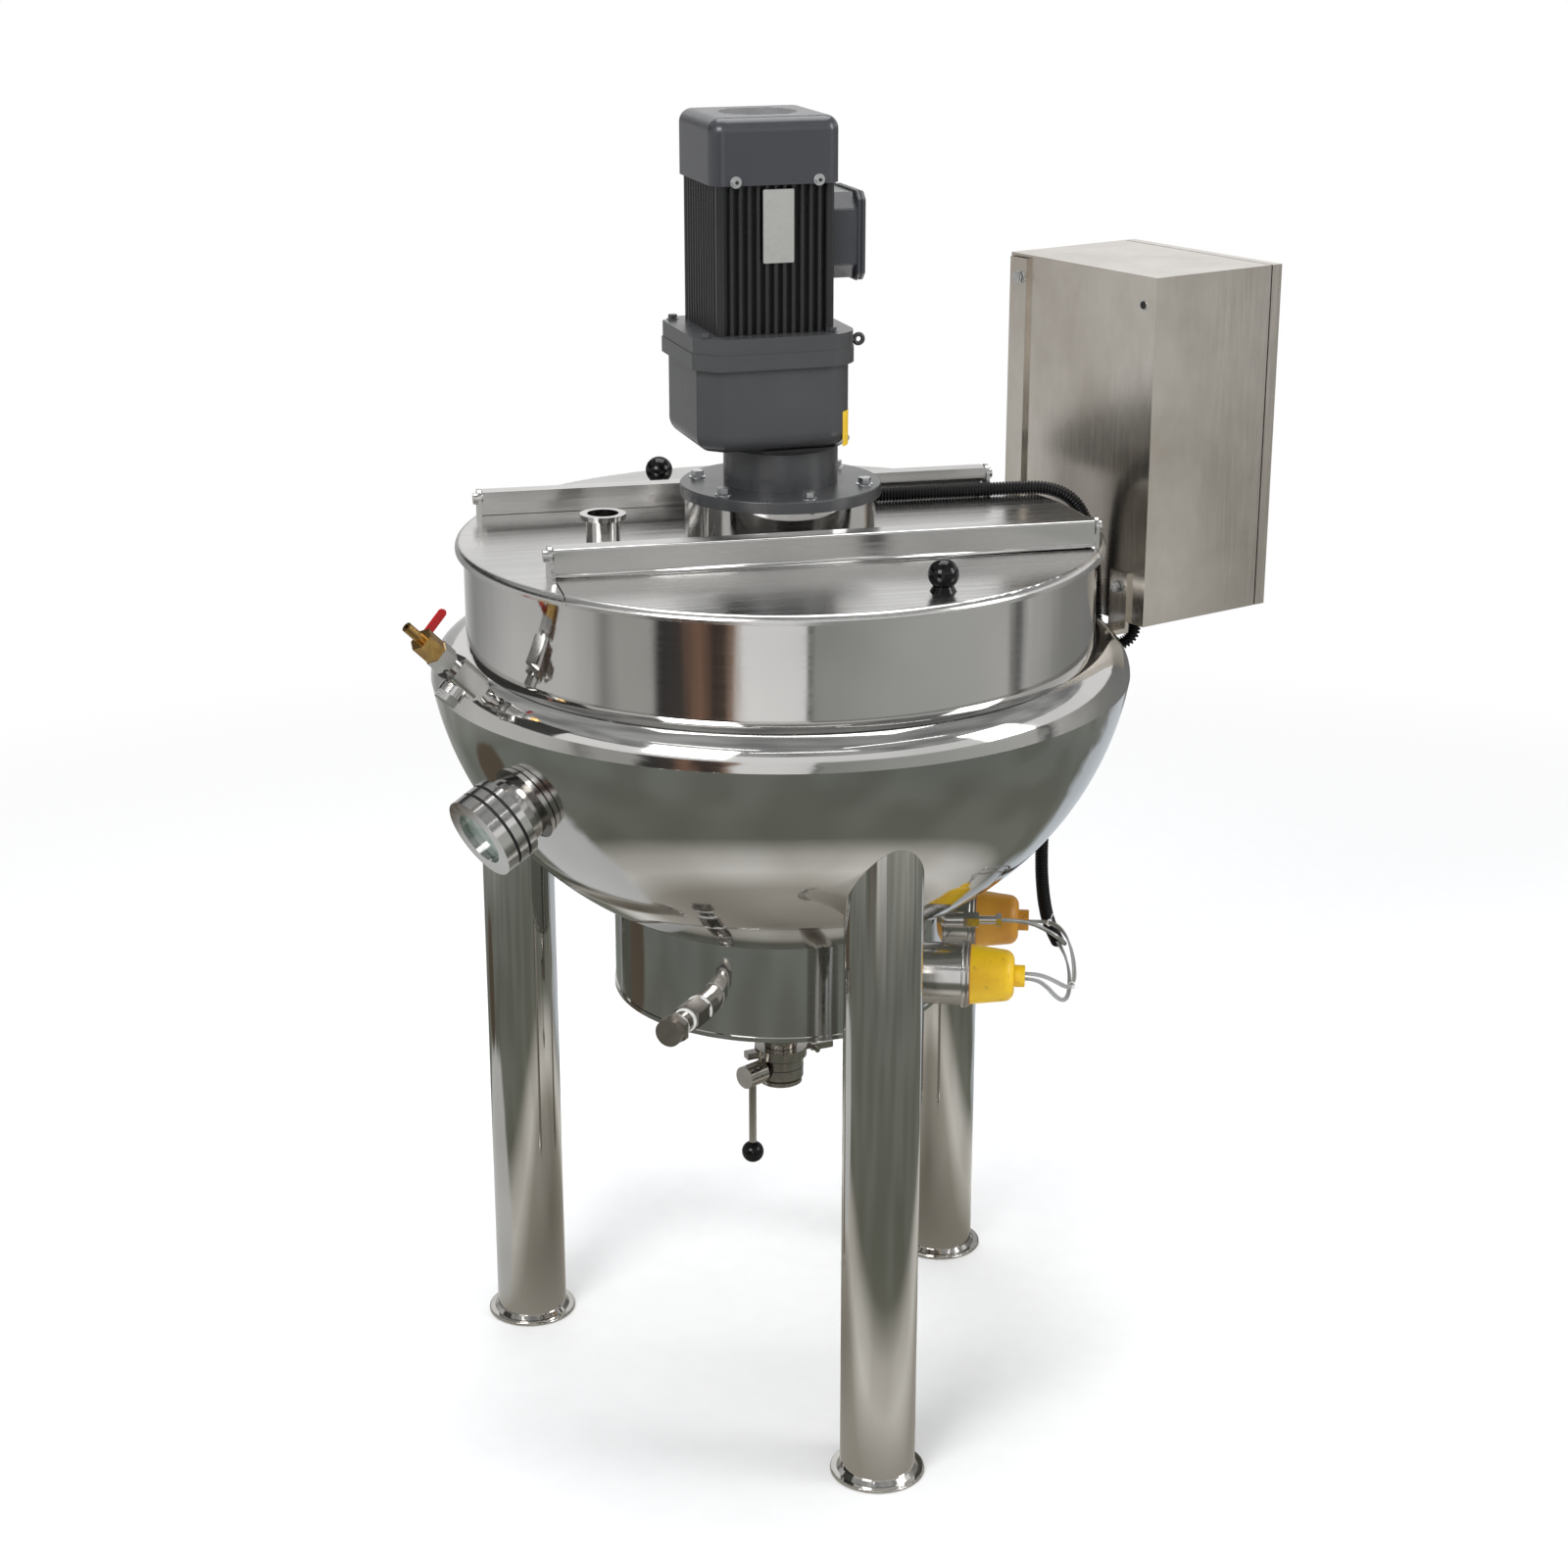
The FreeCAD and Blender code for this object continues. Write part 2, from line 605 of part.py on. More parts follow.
def hinge_supports():
    """A wide cheek and a narrow ear on the bridge, with shouldered bolts into the bar."""
    supports = []
    reach = EAR_SHEET + END_GAP + LID_SHEET + PIN_END_GAP
    half = EAR_WIDTH / 2
    places = ((-BAR_SHORT_END - END_GAP - EAR_SHEET, 1, CHEEK_FRONT, CHEEK_BACK),
              (BAR_LONG_END + END_GAP, -1, half, half))
    for x, way, front, back in places:
        low = LID_TOP_HEIGHT
        outline = [point(x, -HINGE_Y - front, low), point(x, -HINGE_Y - half, HINGE_HEIGHT),
                   point(x, -HINGE_Y + half, HINGE_HEIGHT), point(x, -HINGE_Y + back, low)]
        face = Part.Face(Part.makePolygon(outline + [outline[0]]))
        base = face.extrude(point(EAR_SHEET, 0, 0))
        crown = Part.makeCylinder(EAR_WIDTH / 2, EAR_SHEET, point(x, -HINGE_Y, HINGE_HEIGHT),
                                  X_AXIS)
        outside = x if way > 0 else x + EAR_SHEET
        centre = point(outside, -HINGE_Y, HINGE_HEIGHT)
        shank = Part.makeCylinder(PIN_RADIUS, reach, centre, X_AXIS * way)
        head = Part.makeCylinder(PIN_HEAD_RADIUS, PIN_HEAD, centre, X_AXIS * -way)
        supports.append(base.fuse([crown, shank, head]).removeSplitter())
    return supports


def lid_knob(place):
    low = LID_TOP_HEIGHT + LID_SEAT_GAP
    base = Part.makeCone(KNOB_BASE_RADIUS, KNOB_BASE_RADIUS * KNOB_NECK_SHARE,
                         KNOB_RISE - KNOB_NECK_DROP, point(place[0], place[1], low))
    ball = Part.makeSphere(KNOB_RADIUS, point(place[0], place[1], low + KNOB_RISE))
    above = disc(KNOB_RADIUS * 2, low, low + KNOB_RISE + KNOB_RADIUS * 2, place[0], place[1])
    return base.fuse(ball).common(above).removeSplitter()


def lid_ferrule():
    x, y = FERRULE_PLACE
    tube = disc(FERRULE_TUBE_RADIUS, LID_TOP_HEIGHT, FERRULE_TOP_HEIGHT, x, y)
    flange = disc(FERRULE_FLANGE_RADIUS, FERRULE_TOP_HEIGHT - FERRULE_FLANGE,
                  FERRULE_TOP_HEIGHT, x, y)
    return tube.fuse(flange).cut(disc(FERRULE_BORE, LID_TOP_HEIGHT - 1,
                                      FERRULE_TOP_HEIGHT + 1, x, y))


# Drive

def motor_stool():
    return ring(STOOL_RADIUS, STOOL_RADIUS - STOOL_SHEET, LID_TOP_HEIGHT,
                FLANGE_UNDER_HEIGHT)


def gearbox_flange():
    top = FLANGE_UNDER_HEIGHT + FLANGE_THICKNESS
    plate = disc(FLANGE_RADIUS, FLANGE_UNDER_HEIGHT, top)
    rim = [e for e in plate.Edges if abs(e.BoundBox.ZMin - top) < 1e-6]
    plate = plate.makeFillet(FLANGE_FILLET, rim)
    boss = disc(BOSS_RADIUS, top, BOSS_TOP_HEIGHT)
    collar = Part.makeCone(BOSS_RADIUS, COLLAR_RADIUS, COLLAR_HEIGHT,
                           point(0, 0, BOSS_TOP_HEIGHT - COLLAR_HEIGHT))
    return plate.fuse([boss, collar]).removeSplitter()


def gear_outline(grow):
    """Plan of the gear unit: chamfered corners on the left, round on the right."""
    half_x = GEAR_WIDTH / 2 + grow
    half_y = GEAR_DEPTH / 2 + grow
    x0 = MOTOR_OFFSET_X - half_x
    x1 = MOTOR_OFFSET_X + half_x
    corner = GEAR_CORNER + grow
    chamfer = GEAR_CHAMFER
    diagonal = corner * math.cos(math.radians(45))
    front_mid = point(x1 - corner + diagonal, -half_y + corner - diagonal, 0)
    back_mid = point(x1 - corner + diagonal, half_y - corner + diagonal, 0)
    return Part.Wire([
        line(point(x0 + chamfer, -half_y, 0), point(x1 - corner, -half_y, 0)),
        Part.Arc(point(x1 - corner, -half_y, 0), front_mid,
                 point(x1, -half_y + corner, 0)).toShape(),
        line(point(x1, -half_y + corner, 0), point(x1, half_y - corner, 0)),
        Part.Arc(point(x1, half_y - corner, 0), back_mid,
                 point(x1 - corner, half_y, 0)).toShape(),
        line(point(x1 - corner, half_y, 0), point(x0 + chamfer, half_y, 0)),
        line(point(x0 + chamfer, half_y, 0), point(x0, half_y - chamfer, 0)),
        line(point(x0, half_y - chamfer, 0), point(x0, -half_y + chamfer, 0)),
        line(point(x0, -half_y + chamfer, 0), point(x0 + chamfer, -half_y, 0)),
    ])


def gear_slab(grow, bottom, top):
    face = Part.Face(gear_outline(grow))
    face.translate(point(0, 0, bottom))
    return face.extrude(point(0, 0, top - bottom))


def gearbox_housing():
    solid = gear_slab(0.0, BOSS_TOP_HEIGHT, GEAR_TOP_HEIGHT)
    return solid.makeFillet(GEAR_FILLET, top_edges(solid, BOSS_TOP_HEIGHT))


def gearbox_cover():
    split = GEAR_TOP_HEIGHT + COVER_LOWER
    top = split + COVER_UPPER
    lower = gear_slab(COVER_OVERHANG, GEAR_TOP_HEIGHT, split)
    upper = gear_slab(COVER_OVERHANG - COVER_SEAM, split, top)
    return lower.fuse([upper, lifting_eye(split)])


def lifting_eye(height):
    """Small eye on a stem, at the right end of the cover's seam."""
    start = MOTOR_OFFSET_X + GEAR_WIDTH / 2
    end = start + COVER_OVERHANG + EYE_ROD_LENGTH
    rod = Part.makeCylinder(EYE_ROD_RADIUS, end - start, point(start, EYE_PLACE_Y, height),
                            X_AXIS)
    eye = Part.makeTorus(EYE_RADIUS, EYE_ROD_RADIUS)
    eye.rotate(ORIGIN, X_AXIS, 90)
    eye.translate(point(end + EYE_RADIUS, EYE_PLACE_Y, height))
    return rod.fuse(eye)


def turn_drive(shape):
    """The gear unit and motor sit a little turned on their flange."""
    turned = shape.copy()
    turned.rotate(ORIGIN, Z_AXIS, DRIVE_TURN)
    return turned


def stator():
    bottom = COVER_TOP_HEIGHT
    core = rounded_block(STATOR_WIDTH, STATOR_WIDTH, bottom, STATOR_TOP_HEIGHT,
                         STATOR_CORNER, MOTOR_OFFSET_X)
    span = STATOR_WIDTH - 2 * (STATOR_CORNER + RIB_EDGE)
    pitch = span / RIB_COUNT
    groove = pitch - RIB_WIDTH
    half = STATOR_WIDTH / 2
    cuts = []
    for index in range(RIB_COUNT):
        start = -span / 2 + pitch * index + RIB_WIDTH / 2
        for side in (-1, 1):
            low = min(side * half, side * (half - RIB_DEPTH))
            x0 = MOTOR_OFFSET_X + start
            cuts.append(block(x0, x0 + groove, low, low + RIB_DEPTH, bottom,
                              STATOR_TOP_HEIGHT))
            if side == -1:
                x1 = MOTOR_OFFSET_X + low
                cuts.append(block(x1, x1 + RIB_DEPTH, start, start + groove, bottom,
                                  STATOR_TOP_HEIGHT))
    return core.cut(cuts)


def fan_cover():
    """Pressed cover over the fan, with a round field of inlet slots in its top."""
    solid = rounded_block(FAN_WIDTH, FAN_WIDTH, STATOR_TOP_HEIGHT, FAN_TOP_HEIGHT,
                          FAN_CORNER, MOTOR_OFFSET_X)
    solid = solid.makeFillet(FAN_FILLET, top_edges(solid, FAN_TOP_HEIGHT))
    inside = FAN_WIDTH - 2 * FAN_SHEET
    ceiling = FAN_TOP_HEIGHT - FAN_SHEET
    hollow = rounded_block(inside, inside, STATOR_TOP_HEIGHT + FAN_SHEET, ceiling,
                           FAN_CORNER - FAN_SHEET, MOTOR_OFFSET_X)
    hollow = hollow.makeFillet(FAN_FILLET - FAN_SHEET, top_edges(hollow, ceiling))
    field = disc(FAN_SLOT_RADIUS, ceiling - 1, FAN_TOP_HEIGHT + 1, MOTOR_OFFSET_X)
    slots = []
    for index in range(FAN_SLOT_COUNT):
        y = (index - (FAN_SLOT_COUNT - 1) / 2) * FAN_SLOT_PITCH
        slot = block(MOTOR_OFFSET_X - FAN_WIDTH / 2, MOTOR_OFFSET_X + FAN_WIDTH / 2,
                     y - FAN_SLOT_WIDTH / 2, y + FAN_SLOT_WIDTH / 2, ceiling - 1,
                     FAN_TOP_HEIGHT + 1)
        slots.append(slot.common(field))
    return solid.cut([hollow] + slots)


def terminal_box():
    face = MOTOR_OFFSET_X + STATOR_WIDTH / 2
    half = TERMINAL_WIDTH / 2
    body = block(face, face + TERMINAL_DEPTH, -half, half, TERMINAL_BOTTOM_HEIGHT,
                 TERMINAL_TOP_HEIGHT)
    along = [e for e in body.Edges if abs(e.Vertexes[0].X - e.Vertexes[1].X) > 1]
    return body.makeFillet(TERMINAL_FILLET, along)


def terminal_cover():
    """Lid of the terminal box, a little larger than the box all round."""
    start = MOTOR_OFFSET_X + STATOR_WIDTH / 2 + TERMINAL_DEPTH
    half = TERMINAL_WIDTH / 2 + TERMINAL_COVER_LIP
    plate = block(start, start + TERMINAL_COVER, -half, half,
                  TERMINAL_BOTTOM_HEIGHT - TERMINAL_COVER_LIP,
                  TERMINAL_TOP_HEIGHT + TERMINAL_COVER_LIP)
    along = [e for e in plate.Edges if abs(e.Vertexes[0].X - e.Vertexes[1].X) > 1]
    return plate.makeFillet(TERMINAL_FILLET, along)


def motor_gland():
    place = point(MOTOR_OFFSET_X + STATOR_WIDTH / 2 + TERMINAL_DEPTH / 2, TERMINAL_WIDTH / 2,
                  TERMINAL_BOTTOM_HEIGHT + GLAND_BOTTOM_RISE)
    return turn_drive(gland(place, 90, 0))


def gland(base, angle, rise):
    nut = hexagon(GLAND_RADIUS, 0, GLAND_LENGTH * 0.4)
    sleeve = disc(GLAND_RADIUS * 0.9, GLAND_LENGTH * 0.4, GLAND_LENGTH)
    return aim(nut.fuse(sleeve), base, angle, rise)


# Stirrer

def stirrer():
    """Shaft with an anchor: a half ring that follows the bowl, and two upright arms."""
    centre = INNER_EQUATOR_HEIGHT
    outer = Part.makeSphere(ANCHOR_RADIUS, point(0, 0, centre))
    inner = Part.makeSphere(ANCHOR_RADIUS - ANCHOR_WIDTH, point(0, 0, centre))
    slab = block(-ANCHOR_RADIUS, ANCHOR_RADIUS, -ANCHOR_BAR / 2, ANCHOR_BAR / 2,
                 centre - ANCHOR_RADIUS, centre)
    bow = outer.cut(inner).common(slab)
    arms = []
    for side in (-1, 1):
        x0 = min(side * ANCHOR_RADIUS, side * (ANCHOR_RADIUS - ANCHOR_WIDTH))
        arms.append(block(x0, x0 + ANCHOR_WIDTH, -ANCHOR_BAR / 2, ANCHOR_BAR / 2, centre,
                          ANCHOR_TOP_HEIGHT))
    cross_half = ANCHOR_WIDTH / 2
    cross = block(-ANCHOR_RADIUS + ANCHOR_WIDTH, ANCHOR_RADIUS - ANCHOR_WIDTH,
                  -ANCHOR_BAR / 2, ANCHOR_BAR / 2, centre - cross_half, centre + cross_half)
    hub = disc(SHAFT_RADIUS + 8, centre - 2 * cross_half, centre + 2 * cross_half)
    shaft = disc(SHAFT_RADIUS, centre - ANCHOR_RADIUS + ANCHOR_WIDTH / 2,
                 FLANGE_UNDER_HEIGHT)
    return bow.fuse(arms + [cross, hub, shaft]).removeSplitter()


# Drain

VALVE_TOP_HEIGHT = OUTLET_PIPE_END
VALVE_BOTTOM_HEIGHT = VALVE_TOP_HEIGHT - VALVE_BODY_HEIGHT - VALVE_TAIL
STEM_HEIGHT = VALVE_TOP_HEIGHT - OUTLET_FLANGE - VALVE_BODY_HEIGHT / 2


def outlet_pipe():
    top = INNER_EQUATOR_HEIGHT - WALL_RADIUS + WALL_SHEET + 1
    tube = disc(OUTLET_TUBE_RADIUS, OUTLET_PIPE_END, top)
    flange = disc(OUTLET_FLANGE_RADIUS, OUTLET_PIPE_END, OUTLET_PIPE_END + OUTLET_FLANGE)
    return tube.fuse(flange).cut(disc(OUTLET_BORE, OUTLET_PIPE_END - 1, top + 1))


def valve_body():
    top = VALVE_TOP_HEIGHT
    flange_low = top - OUTLET_FLANGE
    body_low = flange_low - VALVE_BODY_HEIGHT
    flange = disc(OUTLET_FLANGE_RADIUS, flange_low, top)
    drum = disc(VALVE_BODY_RADIUS, body_low, flange_low)
    tail = disc(OUTLET_TUBE_RADIUS + 1, VALVE_BOTTOM_HEIGHT, body_low)
    foot_ring = disc(OUTLET_FLANGE_RADIUS, VALVE_BOTTOM_HEIGHT,
                     VALVE_BOTTOM_HEIGHT + OUTLET_FLANGE)
    solid = flange.fuse([drum, tail, foot_ring])
    solid = solid.cut(disc(OUTLET_BORE, VALVE_BOTTOM_HEIGHT - 1, top + 1))
    stem_hole = aim(disc(STEM_RADIUS + PIN_CLEARANCE, -HUB_END, HUB_END),
                    point(0, 0, STEM_HEIGHT), VALVE_ANGLE, 0)
    return solid.cut(stem_hole).removeSplitter()


def clamp_band():
    low = OUTLET_PIPE_END - OUTLET_FLANGE
    high = OUTLET_PIPE_END + OUTLET_FLANGE + 1
    band = ring(CLAMP_RADIUS, OUTLET_FLANGE_RADIUS, low, high)
    upper = ring(OUTLET_FLANGE_RADIUS, OUTLET_TUBE_RADIUS + 1, high - 1, high)
    return band.fuse(upper)


def outlet_clamp():
    """Clamp band with a hinge block on one side, and a wing nut on the other."""
    low = OUTLET_PIPE_END - CLAMP_HALF_HEIGHT
    high = OUTLET_PIPE_END + CLAMP_HALF_HEIGHT
    half = CLAMP_EYE_HALF_WIDTH
    inner = CLAMP_RADIUS - 2
    outer = CLAMP_RADIUS + CLAMP_EYE
    middle = CLAMP_RADIUS + CLAMP_EYE / 2
    eye = block(inner, outer, -half, half, low, high)
    bolt = Part.makeCylinder(CLAMP_BOLT_RADIUS, CLAMP_BOLT_LENGTH,
                             point(middle, -CLAMP_BOLT_LENGTH / 2, OUTLET_PIPE_END), Y_AXIS)
    wing = block(middle - CLAMP_BOLT_RADIUS, middle + WING_LENGTH, -2 * half,
                 WING_SHEET - 2 * half, low, high)
    hinge = block(-outer, -inner, -half, half, low, high)
    closure = eye.fuse([bolt, wing, hinge])
    closure = closure.cut(disc(CLAMP_RADIUS - 1, low - 1, high + 1))
    solid = clamp_band().fuse(closure).removeSplitter()
    solid.rotate(ORIGIN, Z_AXIS, CLAMP_ANGLE)
    return solid


def valve_lever():
    """Lever, stem and butterfly disc, with the disc edge on to the flow."""
    plate = Part.makeCylinder(OUTLET_BORE - VALVE_DISC_GAP, VALVE_DISC,
                              point(0, -VALVE_DISC / 2, STEM_HEIGHT), Y_AXIS)
    plate.rotate(ORIGIN, Z_AXIS, VALVE_ANGLE)
    stem = aim(disc(STEM_RADIUS, -OUTLET_BORE + 2, HUB_START), point(0, 0, STEM_HEIGHT),
               VALVE_ANGLE, 0)
    hub = aim(disc(HUB_RADIUS, HUB_START, HUB_END), point(0, 0, STEM_HEIGHT), VALVE_ANGLE, 0)
    place = polar(HUB_END - HUB_RADIUS, VALVE_ANGLE)
    rod = disc(LEVER_ROD_RADIUS, STEM_HEIGHT - LEVER_LENGTH + LEVER_BALL_RADIUS, STEM_HEIGHT,
               place.x, place.y)
    return hub.fuse([rod, plate, stem]).removeSplitter()


def valve_knob():
    place = polar(HUB_END - HUB_RADIUS, VALVE_ANGLE, STEM_HEIGHT - LEVER_LENGTH)
    ball = Part.makeSphere(LEVER_BALL_RADIUS, place)
    rod = disc(LEVER_ROD_RADIUS, place.z + LEVER_BALL_RADIUS, STEM_HEIGHT, place.x, place.y)
    return ball.cut(rod)


# Oil nipple

def sump_nipple():
    base = polar(DRUM_RADIUS - DRUM_SHEET, NIPPLE_ANGLE, NIPPLE_HEIGHT)
    neck = disc(NIPPLE_RADIUS + NIPPLE_SHOULDER, 0, NIPPLE_NECK)
    hex_end = NIPPLE_NECK + NIPPLE_HEX_LENGTH
    hexes = hexagon(NIPPLE_HEX, NIPPLE_NECK, hex_end)
    thread = disc(NIPPLE_RADIUS, hex_end, NIPPLE_LENGTH)
    piece = aim(neck.fuse([hexes, thread]), base, NIPPLE_ANGLE, 0)
    return piece.cut(disc(DRUM_RADIUS, NIPPLE_HEIGHT - 2 * NIPPLE_HEX,
                          NIPPLE_HEIGHT + 2 * NIPPLE_HEX))


def sump_cap():
    base = polar(DRUM_RADIUS - DRUM_SHEET + NIPPLE_LENGTH, NIPPLE_ANGLE, NIPPLE_HEIGHT)
    skirt = hexagon(CAP_RADIUS, 0, CAP_LENGTH * 0.5)
    crown = disc(CAP_RADIUS, CAP_LENGTH * 0.5, CAP_LENGTH)
    return aim(skirt.fuse(crown), base, NIPPLE_ANGLE, 0)


# Heaters

def heater_base(side, along):
    lateral = polar(HEATER_SPREAD * side, HEATER_ANGLE + 90)
    forward = polar(along, HEATER_ANGLE, HEATER_HEIGHT)
    return lateral + forward


def heater_bore(side):
    return aim(disc(HEATER_TUBE_RADIUS, 0, HEATER_REACH), heater_base(side, HEATER_ROOT),
               HEATER_ANGLE, 0)


def heater_tube(side):
    """Sleeve welded into the drum, closed by the heater's flange."""
    tube = ring(HEATER_TUBE_RADIUS, HEATER_TUBE_RADIUS - HEATER_TUBE_SHEET, 0,
                HEATER_REACH - HEATER_ROOT)
    tube = aim(tube, heater_base(side, HEATER_ROOT), HEATER_ANGLE, 0)
    core = disc(DRUM_RADIUS - DRUM_SHEET, 0, RIM_HEIGHT)
    pieces = tube.cut(core).Solids
    far = heater_base(side, HEATER_REACH)
    sleeve = min(pieces, key=lambda s: s.CenterOfMass.distanceToPoint(far))
    return sleeve.fuse(heater_flange(side)).removeSplitter()


def heater_flange(side):
    """The sleeve's flange with the heater's own, a little smaller, screwed to it."""
    split = HEATER_FLANGE / 2
    plate = disc(HEATER_FLANGE_RADIUS, 0, split)
    head = disc(HEATER_FLANGE_RADIUS - HEATER_FLANGE_STEP, split, HEATER_FLANGE)
    return aim(plate.fuse(head), heater_base(side, HEATER_REACH), HEATER_ANGLE, 0)


def oil_probe():
    """Temperature probe: boss on the drum, gland nut, tube and the lead's nut."""
    base = polar(DRUM_RADIUS - DRUM_SHEET, PROBE_ANGLE, PROBE_HEIGHT)
    hex_start = DRUM_SHEET + PROBE_BOSS_LENGTH
    hex_end = hex_start + PROBE_HEX_LENGTH
    tube_end = hex_end + PROBE_TUBE_LENGTH
    boss = disc(PROBE_BOSS_RADIUS, 0, hex_start)
    hexes = hexagon(PROBE_HEX, hex_start, hex_end)
    tube = disc(PROBE_TUBE_RADIUS, hex_end, tube_end)
    nut = hexagon(PROBE_NUT, tube_end - PROBE_NUT_LENGTH, tube_end)
    piece = aim(boss.fuse([hexes, tube, nut]), base, PROBE_ANGLE, 0)
    core = disc(DRUM_RADIUS, DRUM_BOTTOM_HEIGHT, RIM_HEIGHT)
    return piece.cut(core).removeSplitter()


def heater_cap(side):
    length = HEATER_CAP_LENGTH
    body = Part.makeCone(HEATER_CAP_RADIUS, HEATER_CAP_RADIUS - HEATER_CAP_TAPER, length)
    rim = [e for e in body.Edges if abs(e.BoundBox.ZMin - length) < 1e-6]
    body = body.makeFillet(HEATER_CAP_ROUND, rim)
    spout = disc(SPOUT_RADIUS, length - 1, length + SPOUT_LENGTH)
    start = HEATER_REACH + HEATER_FLANGE
    piece = body.fuse(spout)
    return aim(piece, heater_base(side, start), HEATER_ANGLE, 0)


# Sight glass

def sight_base():
    turn = math.radians(SIGHT_DIP)
    radius = BOWL_ARC_OFFSET + BOWL_ARC_RADIUS * math.cos(turn)
    return polar(radius, SIGHT_ANGLE, BOWL_ARC_HEIGHT + BOWL_ARC_RADIUS * math.sin(turn))


def sight_part(outer, inner, start, end):
    piece = disc(outer, start, end)
    if inner > 0:
        piece = piece.cut(disc(inner, start, end))
    return aim(piece, sight_base(), SIGHT_ANGLE, SIGHT_DIP)


SIGHT_STEPS = {}
SIGHT_STEPS["flange"] = SIGHT_NECK_LENGTH
SIGHT_STEPS["inner_gasket"] = SIGHT_STEPS["flange"] + SIGHT_FLANGE
SIGHT_STEPS["middle"] = SIGHT_STEPS["inner_gasket"] + SIGHT_GASKET
SIGHT_STEPS["outer_gasket"] = SIGHT_STEPS["middle"] + SIGHT_MIDDLE
SIGHT_STEPS["bezel"] = SIGHT_STEPS["outer_gasket"] + SIGHT_GASKET
SIGHT_STEPS["end"] = SIGHT_STEPS["bezel"] + SIGHT_BEZEL


def sight_neck():
    neck = sight_part(SIGHT_NECK_RADIUS, SIGHT_BORE, -SIGHT_NECK_ROOT,
                      SIGHT_STEPS["flange"])
    flange = sight_part(SIGHT_RING_RADIUS, SIGHT_BORE, SIGHT_STEPS["flange"],
                        SIGHT_STEPS["inner_gasket"])
    solid = neck.fuse(flange).cut(bowl_core())
    return max(solid.Solids, key=lambda s: s.Volume)


def sight_gaskets():
    inner = sight_part(SIGHT_RING_RADIUS - 2, SIGHT_BORE, SIGHT_STEPS["inner_gasket"],
                       SIGHT_STEPS["middle"])
    outer = sight_part(SIGHT_RING_RADIUS - 2, SIGHT_BORE, SIGHT_STEPS["outer_gasket"],
                       SIGHT_STEPS["bezel"])
    return Part.makeCompound([inner, outer])


def sight_middle():
    return sight_part(SIGHT_RING_RADIUS, SIGHT_BORE, SIGHT_STEPS["middle"],
                      SIGHT_STEPS["outer_gasket"])


def sight_bezel():
    bezel = sight_part(SIGHT_RING_RADIUS, SIGHT_BORE, SIGHT_STEPS["bezel"],
                       SIGHT_STEPS["end"])
    return bezel


def sight_glass():
    return sight_part(SIGHT_BORE, 0, SIGHT_STEPS["bezel"] - SIGHT_GASKET,
                      SIGHT_STEPS["bezel"] - SIGHT_GASKET + SIGHT_GLASS)


# Vent fitting

VENT_STEPS = {}
VENT_STEPS["block"] = VENT_NIPPLE_LENGTH
VENT_STEPS["union"] = VENT_STEPS["block"] + VENT_BLOCK_LENGTH
VENT_STEPS["brass"] = VENT_STEPS["union"] + VENT_UNION_LENGTH
VENT_STEPS["barb"] = VENT_STEPS["brass"] + BRASS_LENGTH
VENT_STEPS["end"] = VENT_STEPS["barb"] + BARB_LENGTH


def vent_base():
    reach = SHOULDER_RADIUS * math.cos(math.radians(45))
    return polar(WALL_RADIUS + reach, VENT_ANGLE, SEAM_HEIGHT + reach)


def vent_part(shape):
    return aim(shape, vent_base(), VENT_ANGLE, 45)


def vent_nipple():
    nipple = disc(VENT_NIPPLE_RADIUS, -6, VENT_STEPS["block"])
    collar = hexagon(VENT_HEX, VENT_STEPS["block"] - 8, VENT_STEPS["block"])
    solid = vent_part(nipple.fuse(collar))
    core = revolve(shoulder_profile(0))
    return solid.cut(core)


def vent_tee():
    """Square bodied tee: straight run, and a plugged branch that points down."""
    low = VENT_STEPS["block"]
    high = VENT_STEPS["union"]
    middle = (low + high) / 2
    half = VENT_BLOCK / 2
    body = rounded_block(VENT_BLOCK, VENT_BLOCK, low, high, 6)
    branch = Part.makeCylinder(VENT_PLUG_RADIUS, half + 10, point(0, 0, middle), X_AXIS)
    hexes = hexagon(VENT_PLUG_RADIUS - 2, half + 10, half + 10 + VENT_PLUG_LENGTH * 0.4)
    hexes.rotate(ORIGIN, Y_AXIS, 90)
    hexes.translate(point(0, 0, middle))
    return vent_part(body.fuse([branch, hexes]).removeSplitter())


def vent_union():
    low = VENT_STEPS["union"]
    high = VENT_STEPS["brass"]
    neck = disc(VENT_NIPPLE_RADIUS, low, low + 8)
    nut = hexagon(VENT_HEX, low + 8, high)
    return vent_part(neck.fuse(nut))


def vent_fitting():
    """Nipple from the shoulder, plugged tee and union, screwed up into one piece."""
    return vent_nipple().fuse([vent_tee(), vent_union()]).removeSplitter()


def vent_valve():
    low = VENT_STEPS["brass"]
    high = VENT_STEPS["barb"]
    body = hexagon(BRASS_HEX, low, high)
    barb = disc(BARB_RADIUS, high, VENT_STEPS["end"])
    stem = Part.makeCylinder(VENT_STEM_RADIUS + 2, BRASS_HEX + VENT_STEM_LENGTH,
                             point(0, 0, (low + high) / 2), Y_AXIS * -1)
    solid = body.fuse([barb, stem])
    solid = solid.cut(disc(BARB_BORE, high, VENT_STEPS["end"] + 1))
    return vent_part(solid.removeSplitter())


